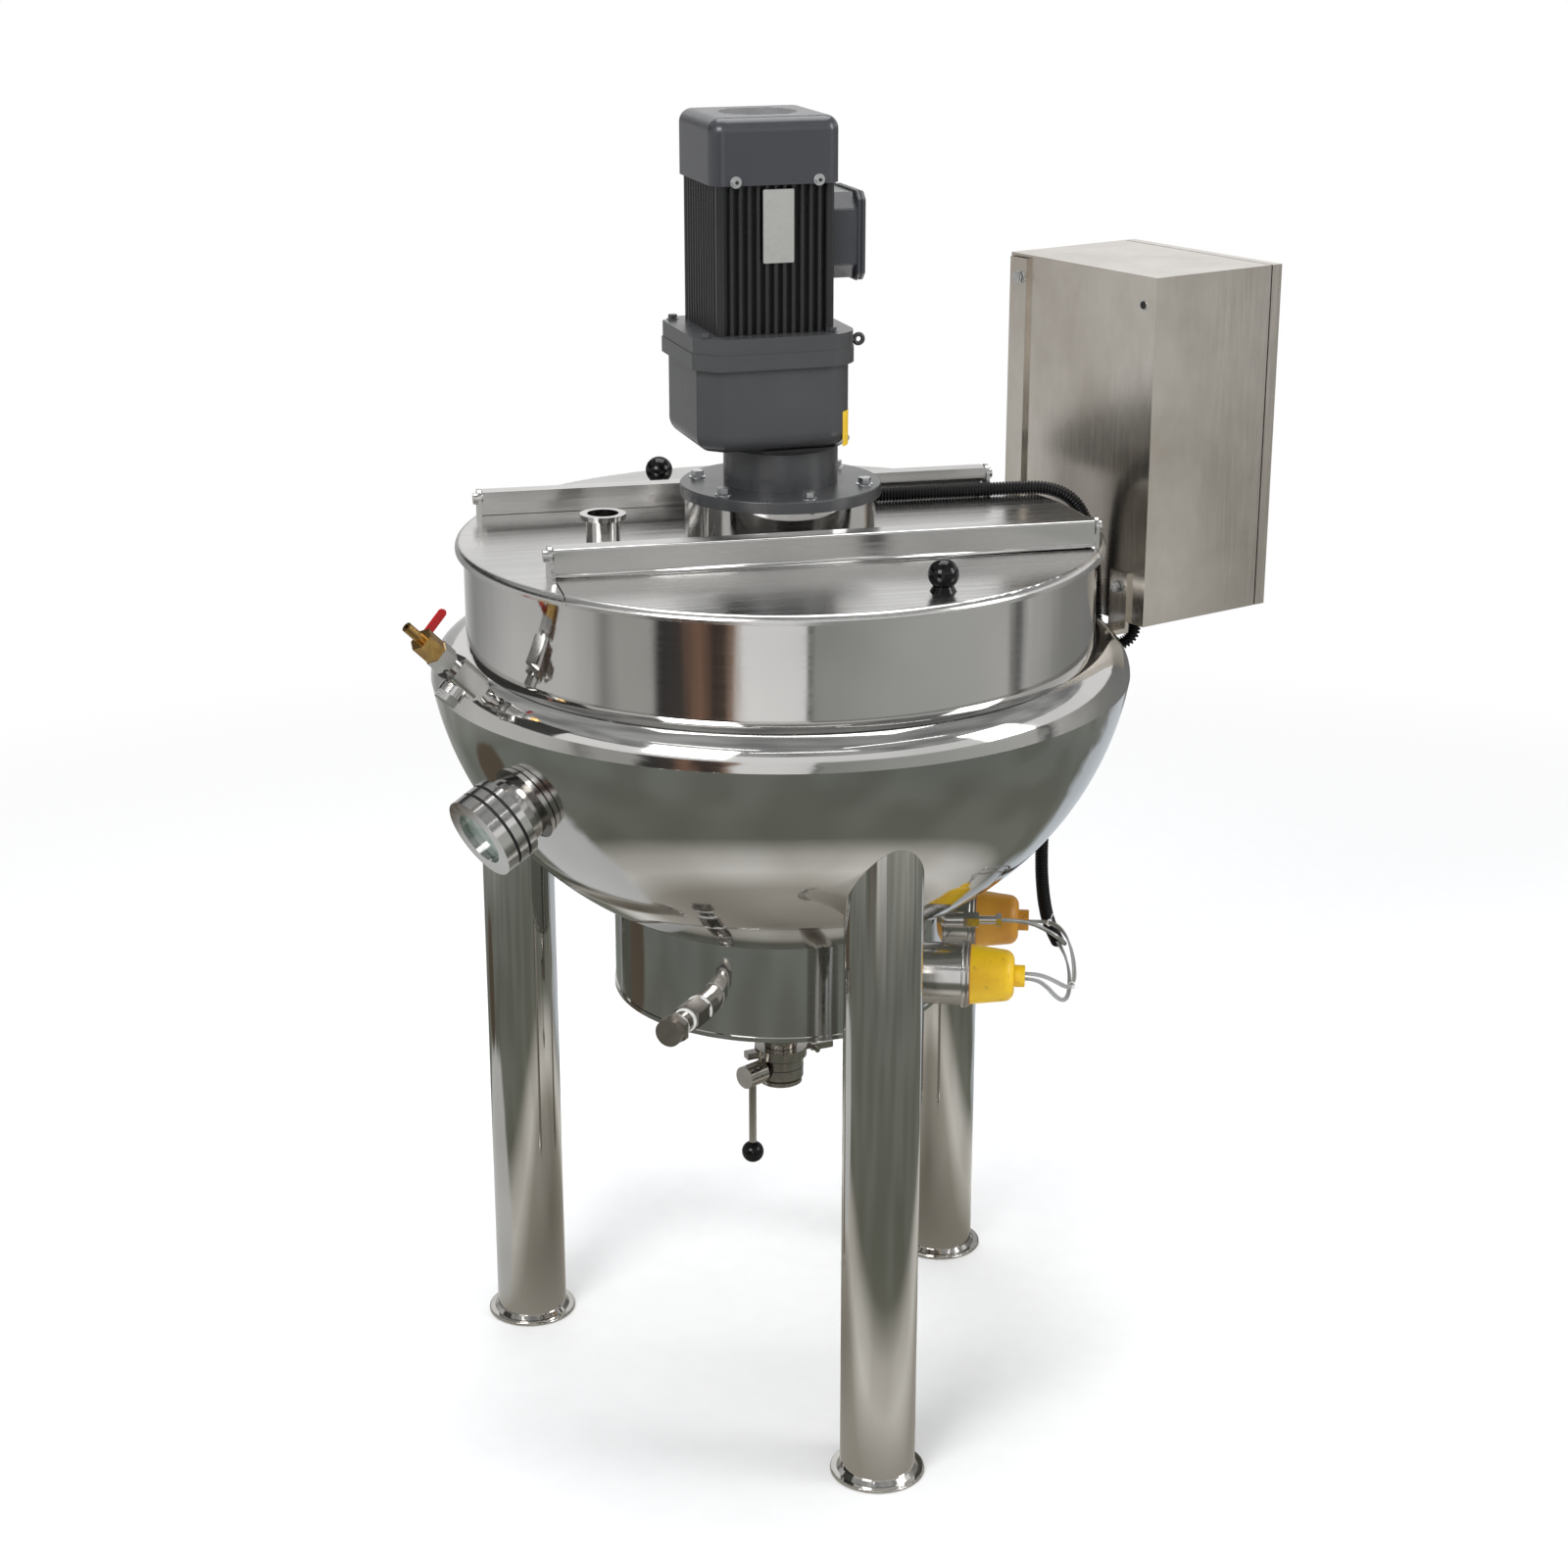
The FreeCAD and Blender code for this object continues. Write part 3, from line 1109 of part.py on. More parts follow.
def vent_lever():
    """Pressed handle held on the stem, at rest along the shut position."""
    middle = (VENT_STEPS["brass"] + VENT_STEPS["barb"]) / 2
    y1 = -BRASS_HEX - VENT_STEM_LENGTH - VENT_LEVER_GAP
    y0 = y1 - VENT_LEVER_SHEET
    blade = block(-VENT_LEVER_LENGTH, 0, y0, y1, middle - VENT_LEVER_WIDTH / 2,
                  middle + VENT_LEVER_WIDTH / 2)
    round_end = Part.makeCylinder(VENT_LEVER_WIDTH / 2, VENT_LEVER_SHEET,
                                  point(-VENT_LEVER_LENGTH, y0, middle), Y_AXIS)
    boss = Part.makeCylinder(VENT_LEVER_WIDTH / 2 + 1, VENT_LEVER_SHEET,
                             point(0, y0, middle), Y_AXIS)
    return vent_part(blade.fuse([round_end, boss]).removeSplitter())


# Cabinet, built with its back at x = 0 and then turned out to its bearing

def cabinet_place(shape):
    placed = shape.copy()
    placed.translate(point(CABINET_REACH, 0, CABINET_BOTTOM_HEIGHT))
    placed.rotate(ORIGIN, Z_AXIS, CABINET_ANGLE)
    return placed


def cabinet_shell():
    half = CABINET_WIDTH / 2
    sheet = CABINET_SHEET
    outer = block(0, CABINET_DEPTH, -half, half, 0, CABINET_HEIGHT)
    inner = block(sheet, CABINET_DEPTH - sheet, -half + sheet, half - sheet, sheet,
                  CABINET_HEIGHT - sheet)
    mouth = block(CABINET_DEPTH - sheet, CABINET_DEPTH, -half + CABINET_RETURN,
                  half - CABINET_RETURN, CABINET_RETURN, CABINET_HEIGHT - CABINET_RETURN)
    hole = Part.makeCylinder(CABINET_HOLE_RADIUS, 3 * sheet,
                             point(-sheet, -half + CABINET_HOLE_EDGE,
                                   CABINET_HEIGHT - CABINET_HOLE_DROP), X_AXIS)
    shell = outer.cut([inner, mouth, hole])
    hinge_x = door_hinge_x()
    near = hinge_x - DOOR_HINGE_SLOT
    hinge_y = half + DOOR_HINGE_STANDOFF
    for low in DOOR_HINGE_HEIGHTS:
        top = low + DOOR_HINGE_LENGTH
        leaf = block(hinge_x - SHELL_LEAF, near, half, half + DOOR_HINGE_LEAF, low, top)
        web = block(hinge_x - DOOR_HINGE_WEB, near, half, hinge_y, low, top)
        knuckle = disc(DOOR_HINGE_RADIUS, low, top, hinge_x, hinge_y)
        pin = disc(DOOR_PIN_RADIUS, top, top + DOOR_HINGE_LENGTH - DOOR_PIN_END, hinge_x,
                   hinge_y)
        shell = shell.fuse([leaf, web, knuckle, pin])
    return cabinet_place(shell.removeSplitter())


def door_hinge_x():
    return CABINET_DEPTH + DOOR_GAP / 2


def cabinet_panel():
    """Mounting plate inside, on four spacers from the back wall."""
    half = CABINET_WIDTH / 2 - PANEL_MARGIN
    x0 = CABINET_SHEET + PANEL_STANDOFF
    plate = block(x0, x0 + PANEL_SHEET, -half, half, PANEL_END_MARGIN,
                  CABINET_HEIGHT - PANEL_END_MARGIN)
    posts = []
    for y in (-half + POST_EDGE, half - POST_EDGE):
        for z in (POST_END, CABINET_HEIGHT - POST_END):
            posts.append(Part.makeCylinder(POST_RADIUS, PANEL_STANDOFF,
                                           point(CABINET_SHEET, y, z), X_AXIS))
    return cabinet_place(plate.fuse(posts))


def cabinet_door():
    half = CABINET_WIDTH / 2
    x0 = CABINET_DEPTH + DOOR_GAP
    outer = block(x0, x0 + DOOR_DEPTH, -half, half, 0, CABINET_HEIGHT)
    inner = block(x0, x0 + DOOR_DEPTH - DOOR_SHEET, -half + DOOR_SHEET, half - DOOR_SHEET,
                  DOOR_SHEET, CABINET_HEIGHT - DOOR_SHEET)
    door = outer.cut(inner)
    hinge_x = door_hinge_x()
    hinge_y = half + DOOR_HINGE_STANDOFF
    near = hinge_x + DOOR_HINGE_SLOT
    for height in DOOR_HINGE_HEIGHTS:
        low = height + DOOR_HINGE_LENGTH + DOOR_HINGE_GAP
        top = low + DOOR_HINGE_LENGTH
        leaf = block(near, hinge_x + DOOR_LEAF, half, half + DOOR_HINGE_LEAF, low, top)
        web = block(near, hinge_x + DOOR_HINGE_WEB, half, hinge_y, low, top)
        knuckle = disc(DOOR_HINGE_RADIUS, low, top, hinge_x, hinge_y)
        bore = disc(DOOR_PIN_RADIUS + PIN_CLEARANCE, low, top, hinge_x, hinge_y)
        door = door.fuse([leaf, web, knuckle]).cut(bore)
    lock = Part.makeCylinder(DOOR_LOCK_RADIUS, DOOR_LOCK_DEPTH,
                             point(x0 + DOOR_DEPTH, -half + DOOR_LOCK_EDGE, CABINET_HEIGHT / 2),
                             X_AXIS)
    return cabinet_place(door.fuse(lock).removeSplitter())


def cabinet_bracket(start, top):
    """Upright strap on the cabinet's back, with a flat arm in to the jacket's seam."""
    low = -BRACKET_DROP
    post = block(-STRAP_SHEET, 0, start, start + STRAP_WIDTH, low, top)
    arm = block(-CABINET_REACH + WALL_RADIUS, 0, start, start + STRAP_WIDTH, low,
                low + BRACKET_SHEET)
    return bracket_trim(post.fuse(arm))


def cabinet_brackets():
    half = CABINET_WIDTH / 2
    tall = cabinet_bracket(half - STRAP_WIDTH - STRAP_EDGE, CABINET_HEIGHT - STRAP_EDGE)
    short = cabinet_bracket(-half + SHORT_STRAP_EDGE, SHORT_STRAP_TOP)
    return [tall, short]


def bracket_trim(shape):
    """Seats a bracket on the shoulder and wall by cutting away what lies inside."""
    placed = cabinet_place(shape)
    core = bowl_core().fuse([disc(WALL_RADIUS, SEAM_HEIGHT, RIM_HEIGHT),
                             revolve(shoulder_profile(0))])
    solid = placed.cut(core)
    return max(solid.Solids, key=lambda s: s.Volume).removeSplitter()


# Cords: straight runs joined by tangent arcs

MOTOR_CONDUIT_ROUTE = [
    (51.23, 69.23, 1312.0),
    (49.66, 89.17, 1312.0),
    (48.5, 106.0, 1299.0),
    (47.0, 115.0, 1270.0),
    (44.0, 118.0, 1222.0),
    (40.0, 117.0, 1166.0),
    (38.0, 115.5, 1112.0),
    (42.0, 115.0, 1068.0),
    (58.0, 116.0, 1034.0),
    (92.0, 116.6, 1015.5),
    (146.0, 116.3, 1014.4),
    (205.0, 116.6, 1014.6),
    (262.0, 116.2, 1014.4),
    (312.0, 115.0, 1015.0),
    (349.0, 112.0, 1014.0),
    (378.0, 109.0, 1000.0),
    (395.0, 106.5, 972.0),
    (403.0, 104.0, 934.0),
    (406.0, 102.8, 902.0),
    (407.0, 102.2, 874.0),
    (408.0, 101.7, 851.0),
    (411.5, 100.6, 834.0),
    (420.5, 98.3, 824.0),
    (434.0, 95.0, 821.5),
    (446.5, 91.6, 827.5),
    (453.0, 89.8, 839.0),
    (453.0, 89.8, 851.0),
]

HEATER_CONDUIT_ROUTE = [
    (410.6, 204.9, 851.0),
    (410.6, 204.9, 832.0),
    (405.0, 199.0, 796.0),
    (395.0, 186.0, 745.0),
    (382.0, 164.0, 698.0),
    (367.0, 137.0, 652.0),
    (352.0, 106.0, 607.0),
    (340.0, 74.0, 565.0),
    (333.0, 42.0, 531.0),
    (330.0, 13.0, 511.0),
    (329.0, -12.0, 503.0),
    (328.0, -34.0, 500.0),
]

CONDUIT_GLANDS = (MOTOR_CONDUIT_ROUTE[-1], HEATER_CONDUIT_ROUTE[0])

# The loop between the two heater caps, and the lead from the conduit's open end
LOOP_LEAD_ROUTE = [
    (296.84, -13.34, 521.0),
    (308.19, -17.25, 521.0),
    (318.0, -26.0, 522.5),
    (323.0, -41.0, 524.0),
    (324.0, -62.0, 525.0),
    (324.0, -83.0, 522.0),
    (321.0, -107.0, 515.0),
    (316.0, -131.0, 506.0),
    (308.0, -154.0, 499.0),
    (297.0, -172.0, 500.0),
    (284.0, -182.0, 509.0),
    (269.0, -183.0, 519.0),
    (254.38, -179.61, 524.2),
    (241.14, -175.05, 524.2),
]

CONDUIT_LEAD_ROUTE = [
    (328.0, -34.0, 500.0),
    (327.5, -46.0, 498.4),
    (327.0, -66.0, 494.0),
    (323.0, -91.0, 488.0),
    (316.0, -116.0, 483.0),
    (307.0, -140.0, 480.0),
    (297.0, -160.0, 482.0),
    (287.0, -175.0, 487.0),
    (276.0, -183.0, 496.5),
    (266.0, -183.5, 509.0),
    (254.38, -179.61, 517.8),
    (241.14, -175.05, 517.8),
]

# The lead from the oil probe back to the conduit's open end
PROBE_LEAD_ROUTE = [
    (248.4, -61.93, 545.0),
    (261.01, -65.08, 545.0),
    (284.0, -70.0, 541.0),
    (302.0, -72.0, 531.0),
    (318.0, -69.0, 519.0),
    (328.0, -60.0, 508.0),
    (331.26, -46.6, 502.3),
    (331.8, -34.7, 503.9),
]


def cord_path(route):
    """Edges of the centre line, and the radius of each arc."""
    points = [point(*place) for place in route]
    edges = []
    radii = []
    start = points[0]
    for before, corner, after in zip(points, points[1:], points[2:]):
        into = corner - before
        out = after - corner
        trim = 0.45 * min(into.Length, out.Length)
        turn = into.getAngle(out)
        radius = trim / math.tan(turn / 2)
        arc_in = corner - into.normalize() * trim
        arc_out = corner + out.normalize() * trim
        inward = ((arc_in + arc_out) / 2 - corner).normalize()
        rise = radius / math.cos(turn / 2) - radius
        edges.append(line(start, arc_in))
        edges.append(Part.Arc(arc_in, corner + inward * rise, arc_out).toShape())
        radii.append(radius)
        start = arc_out
    edges.append(line(start, points[-1]))
    return edges, radii


def cord_tube(name, route, radius):
    edges, radii = cord_path(route)
    wire = Part.Wire(edges)
    heading = point(*route[1]) - point(*route[0])
    section = Part.Wire([Part.makeCircle(radius, point(*route[0]), heading)])
    tube = wire.makePipeShell([section], True, False)
    ideal = math.pi * radius ** 2 * wire.Length
    print(name, "radii", [round(r) for r in radii], "length", round(wire.Length),
          "volume ratio", round(tube.Volume / ideal, 4))
    return tube


def cabinet_glands():
    """Locknuts under the cabinet, where the two conduits go in."""
    nuts = []
    for x, y, z in CONDUIT_GLANDS:
        nut = hexagon(GLAND_RADIUS, z, CABINET_BOTTOM_HEIGHT)
        nut.translate(point(x, y, 0))
        nuts.append(nut)
    return nuts


def group(*shapes):
    """Puts like pieces that don't touch into one node."""
    solids = []
    for shape in shapes:
        solids.extend(shape.Solids)
    return Part.makeCompound(solids)


def vessel_parts():
    return {
        "jacket_bowl": jacket_bowl(),
        "jacket_shoulder": jacket_shoulder(),
        "kettle_wall": kettle_wall(),
        "inner_bowl": inner_bowl(),
        "drum_wall": drum_wall(),
        "drum_bottom": drum_bottom(),
        "legs": group(*[leg(angle) for angle in LEG_ANGLES]),
    }


def lid_parts():
    supports = hinge_supports()
    back_supports = [mirror_half_turn(piece) for piece in supports]
    return {
        "lid_bridge": lid_bridge(),
        "lid_ferrule": lid_ferrule(),
        "hinge_supports": group(*supports, *back_supports),
        "front_lid": flip_lid(),
        "back_lid": mirror_half_turn(flip_lid()),
        "front_knob": lid_knob(FRONT_KNOB),
        "back_knob": lid_knob(BACK_KNOB),
    }


def drive_parts():
    box = terminal_box().fuse(terminal_cover()).removeSplitter()
    return {
        "motor_stool": motor_stool(),
        "gearbox_flange": gearbox_flange(),
        "gearbox_housing": turn_drive(gearbox_housing()),
        "gearbox_cover": turn_drive(gearbox_cover()),
        "motor_body": turn_drive(stator()),
        "fan_cover": turn_drive(fan_cover()),
        "terminal_box": turn_drive(box),
        "stirrer": stirrer(),
    }


def drain_parts():
    return {
        "outlet_pipe": outlet_pipe(),
        "outlet_clamp": outlet_clamp(),
        "valve_body": valve_body(),
        "valve_lever": valve_lever(),
        "valve_knob": valve_knob(),
    }


def oil_parts():
    return {
        "sump_nipple": sump_nipple(),
        "sump_cap": sump_cap(),
        "heater_tubes": group(heater_tube(-1), heater_tube(1), oil_probe()),
        "heater_caps": group(heater_cap(-1), heater_cap(1)),
        "sight_rings": group(sight_neck(), sight_middle(), sight_bezel()),
        "sight_gaskets": sight_gaskets(),
        "sight_glass": sight_glass(),
        "vent_fitting": vent_fitting(),
        "vent_valve": vent_valve(),
        "vent_lever": vent_lever(),
    }


def cabinet_parts():
    return {
        "cabinet_shell": cabinet_shell(),
        "cabinet_door": cabinet_door(),
        "cabinet_panel": cabinet_panel(),
        "cabinet_brackets": group(*cabinet_brackets()),
        "conduit_glands": group(motor_gland(), *cabinet_glands()),
        "motor_conduit": cord_tube("motor conduit", MOTOR_CONDUIT_ROUTE, CONDUIT_RADIUS),
        "heater_conduit": cord_tube("heater conduit", HEATER_CONDUIT_ROUTE, CONDUIT_RADIUS),
        "heater_leads": group(cord_tube("loop lead", LOOP_LEAD_ROUTE, LEAD_RADIUS),
                              cord_tube("conduit lead", CONDUIT_LEAD_ROUTE, LEAD_RADIUS),
                              cord_tube("probe lead", PROBE_LEAD_ROUTE, LEAD_RADIUS)),
    }


def sub_parts():
    """Every node by name, in assembly order."""
    parts = vessel_parts()
    parts.update(lid_parts())
    parts.update(drive_parts())
    parts.update(drain_parts())
    parts.update(oil_parts())
    parts.update(cabinet_parts())
    return parts


def plan_shift(parts):
    """Moves the origin to the centre of the object's box, to whole millimetres."""
    box = FreeCAD.BoundBox()
    for name, shape in parts.items():
        if name not in CORD_NODES:
            box.add(shape.BoundBox)
    return point(-round(box.Center.x), -round(box.Center.y), 0)


def main():
    os.makedirs("parts", exist_ok=True)
    parts = sub_parts()
    shift = plan_shift(parts)
    print("plan shift", shift.x, shift.y)
    for name, shape in parts.items():
        shape.translate(shift)
        if not shape.isValid() or not shape.Solids:
            print("not valid:", name)
        shape.exportStep("parts/" + name + ".step")
    print(len(parts), "nodes")


main()
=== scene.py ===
"""Looks of a stirred, jacketed kettle with flip lids, a gear motor and a control cabinet."""
import logging
import math
from dataclasses import dataclass, field
from enum import Enum

import bmesh
import bpy
from mathutils import Matrix, Vector


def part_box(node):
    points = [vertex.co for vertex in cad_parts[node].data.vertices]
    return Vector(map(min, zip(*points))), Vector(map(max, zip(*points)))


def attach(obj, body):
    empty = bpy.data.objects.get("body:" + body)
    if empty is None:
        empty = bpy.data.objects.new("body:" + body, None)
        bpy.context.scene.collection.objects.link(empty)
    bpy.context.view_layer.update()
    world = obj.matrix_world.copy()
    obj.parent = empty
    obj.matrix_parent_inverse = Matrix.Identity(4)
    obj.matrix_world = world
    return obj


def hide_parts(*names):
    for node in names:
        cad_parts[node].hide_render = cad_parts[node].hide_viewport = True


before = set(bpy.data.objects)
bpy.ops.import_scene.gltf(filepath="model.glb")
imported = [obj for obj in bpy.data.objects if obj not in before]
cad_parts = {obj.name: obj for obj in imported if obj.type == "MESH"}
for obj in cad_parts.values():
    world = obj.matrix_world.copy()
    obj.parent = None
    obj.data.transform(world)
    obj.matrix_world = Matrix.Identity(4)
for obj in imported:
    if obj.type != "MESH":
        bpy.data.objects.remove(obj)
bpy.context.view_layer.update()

logging.basicConfig(level=logging.INFO, format="%(message)s")
LOG = logging.getLogger("kettle")

MM = 0.001
UP = Vector((0.0, 0.0, 1.0))
WHITE = (1.0, 1.0, 1.0)
Triple = tuple[float, float, float]
Colour = Triple
Stretch = Triple
Span = tuple[float, float]
Socket = bpy.types.NodeSocket


def kettle_axis() -> Vector:
    """The kettle's upright axis.

    Returns:
        Its point on the floor, in metres.
    """
    low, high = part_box("kettle_wall")
    centre = (Vector(low) + Vector(high)) / 2
    return Vector((centre.x, centre.y, 0.0))


AXIS = kettle_axis()


def place(x: float, y: float, z: float) -> Vector:
    """A point given in millimetres from the kettle's axis and the floor.

    Args:
        x: To the right.
        y: To the back.
        z: Above the floor.

    Returns:
        The point in the frame, in metres.
    """
    return AXIS + Vector((x, y, z)) * MM


def outward(angle: float) -> Vector:
    """Level direction at a bearing in degrees, anticlockwise from +X."""
    return Vector((math.cos(math.radians(angle)), math.sin(math.radians(angle)), 0.0))


def bearing(radius: float, angle: float, height: float) -> Vector:
    """A point by its distance and bearing from the kettle's axis.

    Args:
        radius: Distance from the axis, in millimetres.
        angle: Bearing in degrees, anticlockwise from +X.
        height: Height above the floor, in millimetres.

    Returns:
        The point in the frame, in metres.
    """
    return place(*(outward(angle) * radius + UP * height))


class Grain(Enum):
    """Way the polishing marks run, as the stretch of the noise along X, Y and Z."""

    ROUND = (3.0, 3.0, 260.0)
    UPRIGHT = (170.0, 170.0, 3.0)
    ALONG_X = (3.0, 220.0, 220.0)
    EVEN = (60.0, 60.0, 60.0)


class Body(Enum):
    """Bodies that the added pieces ride on."""

    FRAME = "frame"
    FRONT_LID = "front_lid"
    BACK_LID = "back_lid"
    DRAIN_LEVER = "drain_lever"


class Slot(Enum):
    """Material slots of the record."""

    STEEL = "polished_steel"
    CABINET = "cabinet_steel"
    MOTOR = "motor_grey"
    HOSE = "black_hose"
    LEAD = "lead_grey"
    KNOB = "black_knob"
    CAP = "cap_yellow"
    GASKET = "gasket_black"


class NodeTree:
    """Nodes and links of one tree."""

    def __init__(self, tree: bpy.types.NodeTree) -> None:
        """Takes the tree that the nodes go into."""
        self.tree = tree

    def feed(self, target: Socket, value: object) -> None:
        """Links a socket to an input, or sets the input's own value.

        Args:
            target: The input.
            value: Socket that is linked to it, or the value that it gets.
        """
        if isinstance(value, Socket):
            self.tree.links.new(value, target)
        else:
            target.default_value = value

    def node(self, kind: str, **values: object) -> bpy.types.Node:
        """Adds a node and fills its inputs and settings by name.

        Args:
            kind: Blender's node type.
            values: Sockets, input values or settings, with underscores for spaces.

        Returns:
            The new node.
        """
        made = self.tree.nodes.new(kind)
        for key, value in values.items():
            name = key.replace("_", " ")
            if name in made.inputs:
                self.feed(made.inputs[name], value)
            else:
                setattr(made, key, value)
        return made

    def math(self, operation: str, first: Socket | float, second: Socket | float) -> Socket:
        """Calculates with two values.

        Args:
            operation: Blender's name of the calculation.
            first: First value, as a socket or a number.
            second: Second value, as a socket or a number.

        Returns:
            The result.
        """
        made = self.node("ShaderNodeMath", operation=operation)
        self.feed(made.inputs[0], first)
        self.feed(made.inputs[1], second)
        return made.outputs[0]

    def blend(self, factor: Socket, first: bpy.types.Node,
              second: bpy.types.Node) -> Socket:
        """Blends two shaders by a value.

        Args:
            factor: 0 gives the first shader and 1 the second.
            first: First shader.
            second: Second shader.

        Returns:
            The shader socket.
        """
        made = self.node("ShaderNodeMixShader")
        sources = (factor, first.outputs[0], second.outputs[0])
        for target, source in zip(made.inputs, sources):
            self.feed(target, source)
        return made.outputs[0]


class Shader(NodeTree):
    """Builds one material's nodes."""

    def __init__(self, name: str) -> None:
        """Starts an empty node material.

        Args:
            name: Name of the material.
        """
        self.material = bpy.data.materials.new(name)
        self.material.use_nodes = True
        super().__init__(self.material.node_tree)
        self.tree.nodes.clear()
        self.output = self.node("ShaderNodeOutputMaterial").inputs["Surface"]
        self.own = self.node("ShaderNodeTexCoord").outputs["Object"]

    def mapped(self, **values: object) -> Socket:
        """The piece's own coordinates, moved or stretched by a mapping's inputs."""
        return self.node("ShaderNodeMapping", Vector=self.own, **values).outputs["Vector"]

    def noise(self, stretch: Stretch, detail: float = 3.0, rough: float = 0.5,
              scale: float = 1.0) -> Socket:
        """A noise value over the piece.

        Args:
            stretch: Scale of the coordinates along each axis.
            detail: Number of octaves.
            rough: Weight of the finer octaves.
            scale: Scale of the noise itself.

        Returns:
            The value socket, about 0.2 to 0.8.
        """
        return self.node("ShaderNodeTexNoise", Vector=self.mapped(Scale=stretch),
                         Scale=scale, Detail=detail, Roughness=rough).outputs["Fac"]

    def span(self, value: Socket, low: float = 0.0, high: float = 1.0, start: float = 0.3,
             end: float = 0.7) -> Socket:
        """Maps a value from one span to another.

        Args:
            value: Socket to map.
            low: Result at the start.
            high: Result at the end.
            start: Value that gives low.
            end: Value that gives high.

        Returns:
            The mapped value.
        """
        return self.node("ShaderNodeMapRange", Value=value, From_Min=start, From_Max=end,
                         To_Min=low, To_Max=high).outputs["Result"]

    def mix(self, factor: Socket | float, first: Socket | Colour, second: Socket | Colour,
            blend: str = "MIX") -> Socket:
        """Mixes two colours by a value.

        Args:
            factor: 0 gives the first colour and 1 the second.
            first: First colour.
            second: Second colour.
            blend: Blender's name of the way that they mix.

        Returns:
            The colour socket.
        """
        made = self.node("ShaderNodeMix", data_type="RGBA", blend_type=blend, Factor=factor)
        for number, colour in ((6, first), (7, second)):
            self.feed(made.inputs[number],
                      colour if isinstance(colour, Socket) else (*colour, 1.0))
        return made.outputs[2]

    def ramp(self, value: Socket, stops: list[tuple[float, Colour]]) -> Socket:
        """Reads a row of colours at a value.

        Args:
            value: Place in the row, from 0 to 1.
            stops: Place and colour of each stop, from the first to the last.

        Returns:
            The colour socket.
        """
        made = self.node("ShaderNodeValToRGB", Fac=value)
        elements = made.color_ramp.elements
        first, *middle, last = stops
        for element, (position, colour) in ((elements[0], first), (elements[1], last)):
            element.position = position
            element.color = (*colour, 1.0)
        for position, colour in middle:
            elements.new(position).color = (*colour, 1.0)
        return made.outputs["Color"]

    def bump(self, height: Socket, distance: float, strength: float,
             below: Socket | None = None) -> Socket:
        """Turns a value into a surface relief.

        Args:
            height: Height as a value from 0 to 1.
            distance: Height of the relief in metres.
            strength: Share of the relief that is used.
            below: Relief that this one is added to.

        Returns:
            The normal socket.
        """
        made = self.node("ShaderNodeBump", Height=height, Distance=distance,
                         Strength=strength)
        if below is not None:
            self.feed(made.inputs["Normal"], below)
        return made.outputs["Normal"]

    def surface(self, **values: object) -> bpy.types.Material:
        """Ends the material in the surface shader.

        Args:
            values: Its inputs by name, with underscores for spaces.

        Returns:
            The finished material.
        """
        self.feed(self.output, self.node("ShaderNodeBsdfPrincipled", **values).outputs[0])
        return self.material


@dataclass(frozen=True)
class PolishedSteel:
    """Mirror polished stainless sheet, with faint marks of the polishing wheel.

    Args:
        name: Name of the material.
        bright: Colour of the clean metal.
        dull: Colour where the polish is weaker.
        smooth: Lowest and highest roughness.
        wave: Height of the slow waves in the sheet, in metres.
        grain: Way the polishing marks run.
        mark: Depth of the polishing marks, in metres.
    """

    name: str
    bright: Colour = (0.61, 0.60, 0.585)
    dull: Colour = (0.49, 0.485, 0.475)
    smooth: Span = (0.035, 0.11)
    wave: float = 0.0012
    grain: Grain = Grain.ROUND
    mark: float = 0.00002

    def build(self) -> bpy.types.Material:
        """Makes the material.

        Returns:
            The material.
        """
        shader = Shader(self.name)
        cloud = shader.noise((5.0, 5.0, 5.0), 2.0)
        marks = shader.noise(self.grain.value, 4.0, 0.65)
        wave = shader.bump(shader.noise((4.0, 4.0, 5.5), 1.0), self.wave, 0.6)
        return shader.surface(Metallic=1.0, Roughness=shader.span(marks, *self.smooth),
                              Base_Color=shader.mix(shader.span(cloud), self.bright,
                                                    self.dull),
                              Normal=shader.bump(marks, self.mark, 0.25, wave))


@dataclass(frozen=True)
class BrushedSteel:
    """Sheet with a fine, even brushed grain and soft clouds of handling.

    Args:
        name: Name of the material.
        light: Lighter colour of the grain.
        dark: Darker colour of the grain.
        smooth: Lowest and highest roughness.
        grain: Way the grain runs.
        wave: Height of the slow waves in the sheet, in metres.
        mark: Depth of the grain, in metres.
    """

    name: str
    light: Colour = (0.72, 0.68, 0.625)
    dark: Colour = (0.54, 0.495, 0.44)
    smooth: Span = (0.17, 0.27)
    grain: Grain = Grain.UPRIGHT
    wave: float = 0.0015
    mark: float = 0.00001

    def build(self) -> bpy.types.Material:
        """Makes the material.

        Returns:
            The material.
        """
        shader = Shader(self.name)
        cloud = shader.noise((7.0, 7.0, 5.0), 4.0, 0.6)
        grain = shader.noise(self.grain.value, 3.0, 0.6, scale=4.0)
        wave = shader.bump(shader.noise((3.0, 3.0, 4.0), 1.0), self.wave, 0.5)
        return shader.surface(Metallic=1.0, Roughness=shader.span(grain, *self.smooth),
                              Base_Color=shader.mix(shader.span(cloud), self.light,
                                                    self.dark),
                              Normal=shader.bump(grain, self.mark, 0.2, wave))


